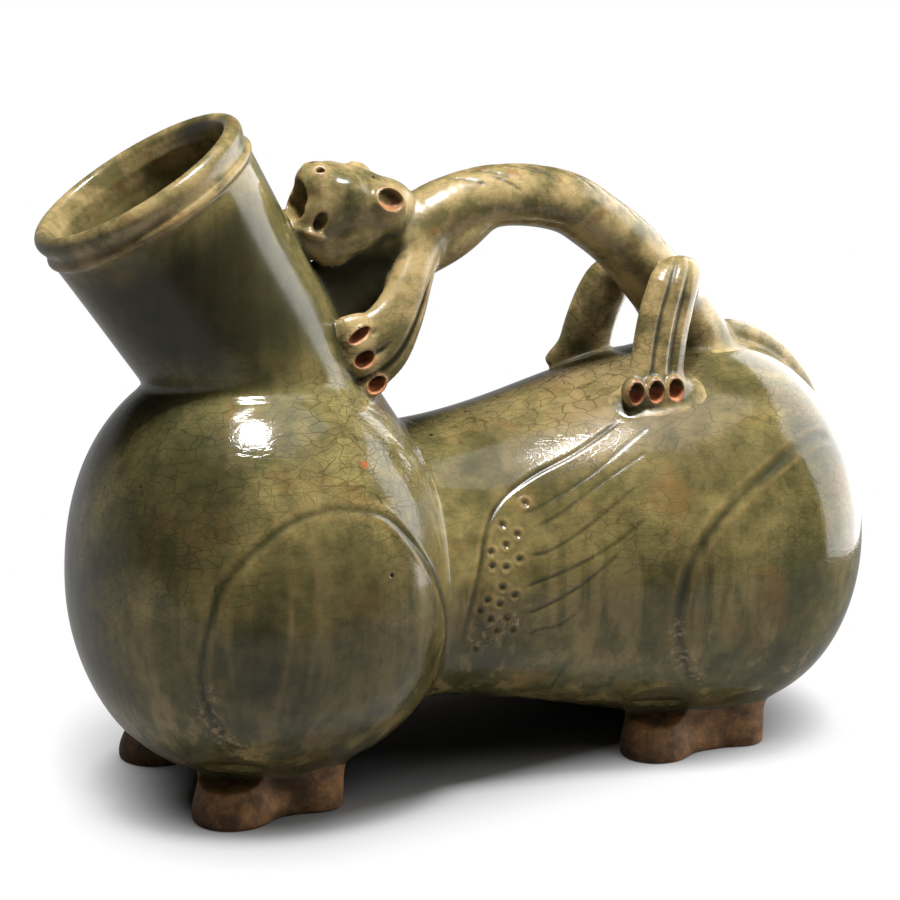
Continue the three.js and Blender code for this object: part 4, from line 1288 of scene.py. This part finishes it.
class Nodes:
    """Short forms for building the nodes of a material or a world."""

    def __init__(self, owner, place="Object"):
        owner.use_nodes = True
        self.tree = owner.node_tree
        self.tree.nodes.clear()
        self.place = self.node("ShaderNodeTexCoord").outputs[place]

    def link(self, source, target):
        if hasattr(source, "is_output"):
            self.tree.links.new(source, target)
        else:
            target.default_value = source

    def node(self, kind, inputs=(), **settings):
        made = self.tree.nodes.new(kind)
        for key, value in settings.items():
            setattr(made, key, value)
        for key, value in dict(inputs).items():
            self.link(value, made.inputs[key])
        return made

    def math(self, operation, first, second):
        return self.node("ShaderNodeMath", {0: first, 1: second}, operation=operation).outputs[0]

    def times(self, first, second):
        return self.math("MULTIPLY", first, second)

    def total(self, *parts):
        total = parts[0]
        for part in parts[1:]:
            total = self.math("ADD", total, part)
        return total

    def vector(self, operation, first, second, output="Vector"):
        made = self.node("ShaderNodeVectorMath", {0: first, 1: second}, operation=operation)
        return made.outputs[output]

    def part(self, axis):
        return self.node("ShaderNodeSeparateXYZ", {"Vector": self.place}).outputs[axis]

    def clamp_map(self, value, low, high, to_low=0.0, to_high=1.0):
        made = self.node("ShaderNodeMapRange", {
            "Value": value, "From Min": low, "From Max": high, "To Min": to_low, "To Max": to_high})
        return made.outputs["Result"]

    def mix(self, share, first, second, blend="MIX"):
        made = self.node("ShaderNodeMix", {0: share, 6: first, 7: second}, data_type="RGBA", blend_type=blend)
        return made.outputs[2]

    def over(self, colour, top, share, strength):
        """Lays the colour top over another one."""
        return self.mix(self.times(share, strength), colour, top)

    def noise(self, scale, detail=3.0, rough=0.55, place=None):
        made = self.node("ShaderNodeTexNoise", {
            "Vector": place or self.place, "Scale": scale, "Detail": detail, "Roughness": rough})
        return made.outputs["Fac"]

    def patches(self, noise, low, high, to_low=0.0, to_high=1.0):
        """Noise of a scale, detail and roughness, made into patches between two levels of it."""
        return self.clamp_map(self.noise(*noise), low, high, to_low, to_high)

    def attribute(self, name):
        return self.node("ShaderNodeAttribute", attribute_name=name).outputs["Fac"]

    def finish(self, colour, rough, relief, strength, distance, ior):
        """A surface of this colour and roughness, with fine relief."""
        bump = self.node("ShaderNodeBump", {"Height": relief, "Strength": strength, "Distance": distance})
        shader = self.node("ShaderNodeBsdfPrincipled", {
            "Base Color": colour, "Roughness": rough, "Normal": bump.outputs["Normal"]})
        shader.inputs["IOR"].default_value = ior
        self.node("ShaderNodeOutputMaterial", {"Surface": shader.outputs[0]})


def crack_net(nodes, scale, stretch, width, sway):
    """A net of cracks: 1 on a crack and 0 between them."""
    noise = nodes.node("ShaderNodeTexNoise", {"Vector": nodes.place, "Scale": 90.0, "Detail": 2.0})
    shift = nodes.vector("SUBTRACT", noise.outputs["Color"], (0.5, 0.5, 0.5))
    shift = nodes.vector("MULTIPLY", shift, (sway, sway, sway))
    place = nodes.vector("MULTIPLY", nodes.vector("ADD", nodes.place, shift), stretch)
    cells = nodes.node(
        "ShaderNodeTexVoronoi", {"Vector": place, "Scale": scale}, feature="DISTANCE_TO_EDGE")
    return nodes.clamp_map(cells.outputs["Distance"], 0.0, width, 1.0, 0.0)


def specks(nodes, scale, size, rarity):
    """Small round spots, as many as rarity leaves."""
    cells = nodes.node("ShaderNodeTexVoronoi", {"Vector": nodes.place, "Scale": scale}, feature="F1")
    spot = nodes.clamp_map(cells.outputs["Distance"], size * 0.6, size, 1.0, 0.0)
    choice = nodes.node("ShaderNodeSeparateColor", {"Color": cells.outputs["Color"]}).outputs[0]
    return nodes.times(spot, nodes.math("GREATER_THAN", choice, rarity))


def clay_colour(nodes, light, dark):
    colour = nodes.mix(nodes.patches((160, 4), 0.35, 0.65), dark, light)
    return nodes.mix(1.0, colour, nodes.patches((900, 2), 0.3, 0.7, 0.75, 1.1), "MULTIPLY")


def glaze_material():
    material = bpy.data.materials.new("celadon_glaze")
    nodes = Nodes(material)
    pool, thin, bare, inside, crust, warm, deep = (
        nodes.attribute(name) for name in ("pool", "thin", "bare", "inside", "crust", "warm", "deep"))
    height, along = nodes.part("Z"), nodes.part("X")

    # Clouded olive with paler and darker runs below
    colour = nodes.mix(nodes.patches((26, 5, 0.6), 0.38, 0.62), linear(76, 70, 40), linear(136, 122, 76))
    colour = nodes.over(colour, linear(62, 61, 37), nodes.patches((170, 4, 0.6), 0.35, 0.65), 0.6)
    colour = nodes.mix(nodes.patches((11,), 0.5, 0.66, 0.0, 0.5), colour, linear(70, 74, 46))
    streaks = nodes.noise(1.0, 4.0, 0.6, nodes.vector("MULTIPLY", nodes.place, (120.0, 120.0, 8.0)))
    low = nodes.clamp_map(height, 0.03, 0.085, 1.0, 0.25)
    for start, end, strength, streak_colour in (
            (0.51, 0.62, 0.7, linear(152, 132, 88)), (0.46, 0.34, 0.6, linear(56, 56, 34))):
        streak = nodes.times(nodes.clamp_map(streaks, start, end), low)
        colour = nodes.over(colour, streak_colour, streak, strength)
    colour = nodes.mix(nodes.patches((48, 5, 0.65), 0.56, 0.72, 0.0, 0.6), colour, linear(120, 88, 50))

    # Tan on the rear lobe's shoulder, partly thin glaze and partly painted light on its top, and gold on the
    # beast and the lip
    tan = nodes.times(nodes.patches((38, 4, 0.6), 0.36, 0.62, 0.1, 0.75), nodes.math("SUBTRACT", 1.0, warm))
    for place, start, end in ((height, 0.09, 0.112), (along, -0.01, 0.03), (along, 0.075, 0.045)):
        tan = nodes.times(tan, nodes.clamp_map(place, start, end))
    colour = nodes.mix(tan, colour, linear(158, 134, 98))
    gold = nodes.mix(nodes.patches((85, 5, 0.65), 0.4, 0.6), linear(88, 82, 50), linear(172, 149, 102))
    gold = nodes.mix(nodes.patches((130, 4, 0.6), 0.58, 0.7, 0.0, 0.6), gold, linear(124, 78, 46))
    colour = nodes.over(colour, gold, warm, 0.75)
    # Painted shade and shadow where the deep mark lies, and darkening inside the front haunch.
    colour = nodes.over(colour, linear(38, 36, 22), deep, 0.82)

    # Crackle, mostly on the upper half
    upper = nodes.times(
        nodes.clamp_map(height, 0.045, 0.085, 0.12, 1.0), nodes.clamp_map(height, 0.125, 0.15, 1.0, 0.35))
    upper = nodes.times(upper, nodes.patches((16, 1), 0.36, 0.5, 0.35, 1.0))
    wide_net = crack_net(nodes, 290.0, (0.45, 0.75, 1.3), 0.045, 0.006)
    fine_net = crack_net(nodes, 560.0, (0.5, 0.8, 1.2), 0.06, 0.004)
    fine_net = nodes.times(fine_net, nodes.patches((34, 1), 0.4, 0.56, 0.0, 0.75))
    cracks = nodes.times(nodes.math("MAXIMUM", wide_net, fine_net), upper)
    colour = nodes.over(colour, linear(38, 36, 20), cracks, 0.68)

    # Throat, pooled and thin glaze, crust, pin holes, rust spots and bare clay
    throat = nodes.mix(nodes.patches((70, 4), 0.4, 0.6), linear(70, 53, 28), linear(108, 84, 50))
    colour = nodes.over(colour, throat, inside, 0.9)
    colour = nodes.over(colour, linear(28, 31, 15), pool, 0.86)
    rust = nodes.mix(nodes.patches((260,), 0.4, 0.6), linear(126, 88, 50), linear(176, 144, 98))
    colour = nodes.over(colour, rust, thin, 0.6)
    pale = nodes.times(nodes.patches((420, 4, 0.65), 0.5, 0.58), crust)
    holes = specks(nodes, 62.0, 0.06, 0.86)
    colour = nodes.over(colour, linear(158, 138, 104), pale, 0.8)
    colour = nodes.over(colour, linear(26, 16, 9), holes, 0.9)
    colour = nodes.over(colour, linear(150, 84, 44), specks(nodes, 40.0, 0.07, 0.9), 0.8)
    clay = clay_colour(nodes, linear(206, 136, 90), linear(140, 76, 42))
    colour = nodes.mix(bare, colour, clay)

    rough = nodes.patches((45,), 0.3, 0.7, 0.06, 0.15)
    for mark, strength in ((thin, 0.15), (warm, 0.15), (deep, 0.1), (tan, 0.16), (pool, 0.3), (pale, 0.35)):
        rough = nodes.total(rough, nodes.times(mark, strength))
    rough = nodes.math("MAXIMUM", rough, nodes.times(bare, 0.75))
    relief = nodes.total(
        nodes.times(cracks, -0.2), nodes.times(nodes.noise(60.0, 2.0), 0.6),
        nodes.times(nodes.noise(300.0), nodes.total(0.12, warm)),
        nodes.times(pale, 2.5), nodes.times(holes, -2.0))
    nodes.finish(colour, rough, relief, 0.6, 0.00014, GLAZE_IOR)
    return material


def foot_material():
    material = bpy.data.materials.new("bare_foot_clay")
    nodes = Nodes(material)
    bare, thin, pool = (nodes.attribute(name) for name in ("bare", "thin", "pool"))
    ragged = nodes.total(bare, nodes.patches((300,), 0.3, 0.7, -0.25, 0.25))
    bare = nodes.clamp_map(ragged, 0.35, 0.65)
    glaze = nodes.mix(nodes.patches((60, 4), 0.4, 0.6), linear(64, 60, 38), linear(98, 86, 56))
    glaze = nodes.over(glaze, linear(46, 42, 22), pool, 0.6)
    clay = clay_colour(nodes, linear(158, 114, 72), linear(90, 66, 42))
    clay = nodes.mix(nodes.patches((60, 5, 0.7), 0.5, 0.64, 0.0, 0.7), clay, linear(52, 42, 30))
    clay = nodes.over(clay, linear(150, 96, 58), thin, 0.7)
    rough = nodes.clamp_map(bare, 0.0, 1.0, 0.15, 0.62)
    nodes.finish(nodes.mix(bare, glaze, clay), rough, nodes.noise(500.0, 5.0, 0.65), 0.5, 0.0004, CLAY_IOR)
    return material


# Floor, light and background

# Strip of shade under the vessel, where the floor is also painted darker: its ends, how it reaches further
# behind, and where it fades out
STRIP_START = Vector((-0.072, -0.015, 0))
STRIP_END = Vector((0.068, 0.012, 0))
STRIP_BEHIND = 0.45
STRIP_FADE = (0.024, 0.062)
WORLD_LIGHT = 0.05


def make_floor():
    size = 4.0
    mesh = bpy.data.meshes.new("floor")
    corners = [(-size, -size, 0), (size, -size, 0), (size, size, 0), (-size, size, 0)]
    mesh.from_pydata(corners, [], [(0, 1, 2, 3)])
    floor = bpy.data.objects.new("floor", mesh)
    bpy.context.scene.collection.objects.link(floor)
    material = bpy.data.materials.new("pale_floor")
    nodes = Nodes(material)
    run = STRIP_END - STRIP_START
    way = run.normalized()
    x, y = nodes.part("X"), nodes.part("Y")
    nearer = nodes.math("MINIMUM", y, nodes.times(y, STRIP_BEHIND))
    place = nodes.node("ShaderNodeCombineXYZ", {"X": x, "Y": nearer}).outputs[0]
    off = nodes.vector("SUBTRACT", place, STRIP_START)
    along = nodes.vector("DOT_PRODUCT", off, way, "Value")
    along = nodes.clamp_map(along, 0.0, run.length, 0.0, run.length)
    far = nodes.vector("DISTANCE", off, nodes.vector("MULTIPLY", way, along), "Value")
    path = nodes.node("ShaderNodeLightPath").outputs
    seen = nodes.math("MAXIMUM", path["Is Camera Ray"], path["Is Glossy Ray"])
    seen = nodes.math("MAXIMUM", seen, path["Is Transmission Ray"])
    white = nodes.times(nodes.clamp_map(far, *STRIP_FADE), seen)
    beyond = nodes.times(nodes.clamp_map(y, -0.2, -0.26), path["Is Glossy Ray"])
    # Ambient occlusion dims the white glow: a painted contact shadow near the vessel.
    open_share = nodes.node("ShaderNodeAmbientOcclusion", {"Distance": 0.03}).outputs["AO"]
    shade = nodes.clamp_map(open_share, 0.15, 0.75, 0.1, 1.0)
    for share, least in ((path["Is Glossy Ray"], 0.38), (beyond, 0.12)):
        shade = nodes.times(shade, nodes.clamp_map(share, 0.0, 1.0, 1.0, least))
    # Painted shadow: the floor's colour darkens towards the strip under the vessel.
    diffuse_with_painted_shadow = nodes.node("ShaderNodeBsdfDiffuse", {"Color": nodes.clamp_map(far, 0.0, 0.06, 0.13, 0.34)})
    bright = nodes.node("ShaderNodeEmission", {"Color": (1, 1, 1, 1), "Strength": shade})
    mixed = nodes.node("ShaderNodeMixShader", {0: white, 1: diffuse_with_painted_shadow.outputs[0], 2: bright.outputs[0]})
    nodes.node("ShaderNodeOutputMaterial", {"Surface": mixed.outputs[0]})
    mesh.materials.append(material)


def make_world():
    world = bpy.data.worlds.new("studio")
    bpy.context.scene.world = world
    nodes = Nodes(world, "Generated")
    path = nodes.node("ShaderNodeLightPath").outputs
    mirrored = nodes.times(
        nodes.clamp_map(nodes.part("Y"), 0.1, 0.45, 0.0, 0.35),
        nodes.clamp_map(nodes.part("Z"), 0.12, 0.34, 1.0, 0.04))
    strength = nodes.clamp_map(path["Is Glossy Ray"], 0.0, 1.0, WORLD_LIGHT, mirrored)
    seen = nodes.math("MAXIMUM", path["Is Camera Ray"], path["Is Transmission Ray"])
    strength = nodes.clamp_map(seen, 0.0, 1.0, strength, 1.0)
    background = nodes.node("ShaderNodeBackground", {"Strength": strength})
    nodes.node("ShaderNodeOutputWorld", {"Surface": background.outputs[0]})


def softbox(
        name, azimuth, elevation, distance, width, height, radiance, target=(0.0, 0.0, 0.08),
        lights=True, mirrored=True):
    """An area lamp round the object. Azimuth 0 is towards -Y and 90 towards +X."""
    turn, lift = math.radians(azimuth), math.radians(elevation)
    away = Vector((
        math.sin(turn) * math.cos(lift), -math.cos(turn) * math.cos(lift), math.sin(lift)))
    data = bpy.data.lights.new(name, "AREA")
    data.shape = "RECTANGLE"
    data.size = width
    data.size_y = height
    data.energy = radiance * width * height * math.pi
    lamp = bpy.data.objects.new(name, data)
    lamp.location = Vector(target) + away * distance
    lamp.rotation_euler = away.to_track_quat("Z", "Y").to_euler()
    lamp.visible_diffuse = lights
    lamp.visible_glossy = mirrored
    bpy.context.scene.collection.objects.link(lamp)


def make_lights():
    softbox("right_softbox", 80, 24, 0.58, 0.32, 0.46, 7.5, mirrored=False)
    softbox("right_window", 90, 0, 0.25, 0.33, 0.31, 3.6, target=(0.0, 0.02, 0.18), lights=False)
    softbox("top_softbox", -23, 78, 1.0, 0.2, 0.2, 140.0)
    softbox("front_softbox", 34, 46, 0.8, 0.3, 0.36, 5.0, mirrored=False)
    softbox("ceiling", 50, 80, 1.1, 0.7, 0.7, 1.5)


# Scene

bpy.context.scene.view_settings.view_transform = "Standard"
make_world()
make_lights()
make_floor()
glaze = glaze_material()
make_body(glaze)
make_handle(glaze)
make_feet(foot_material())
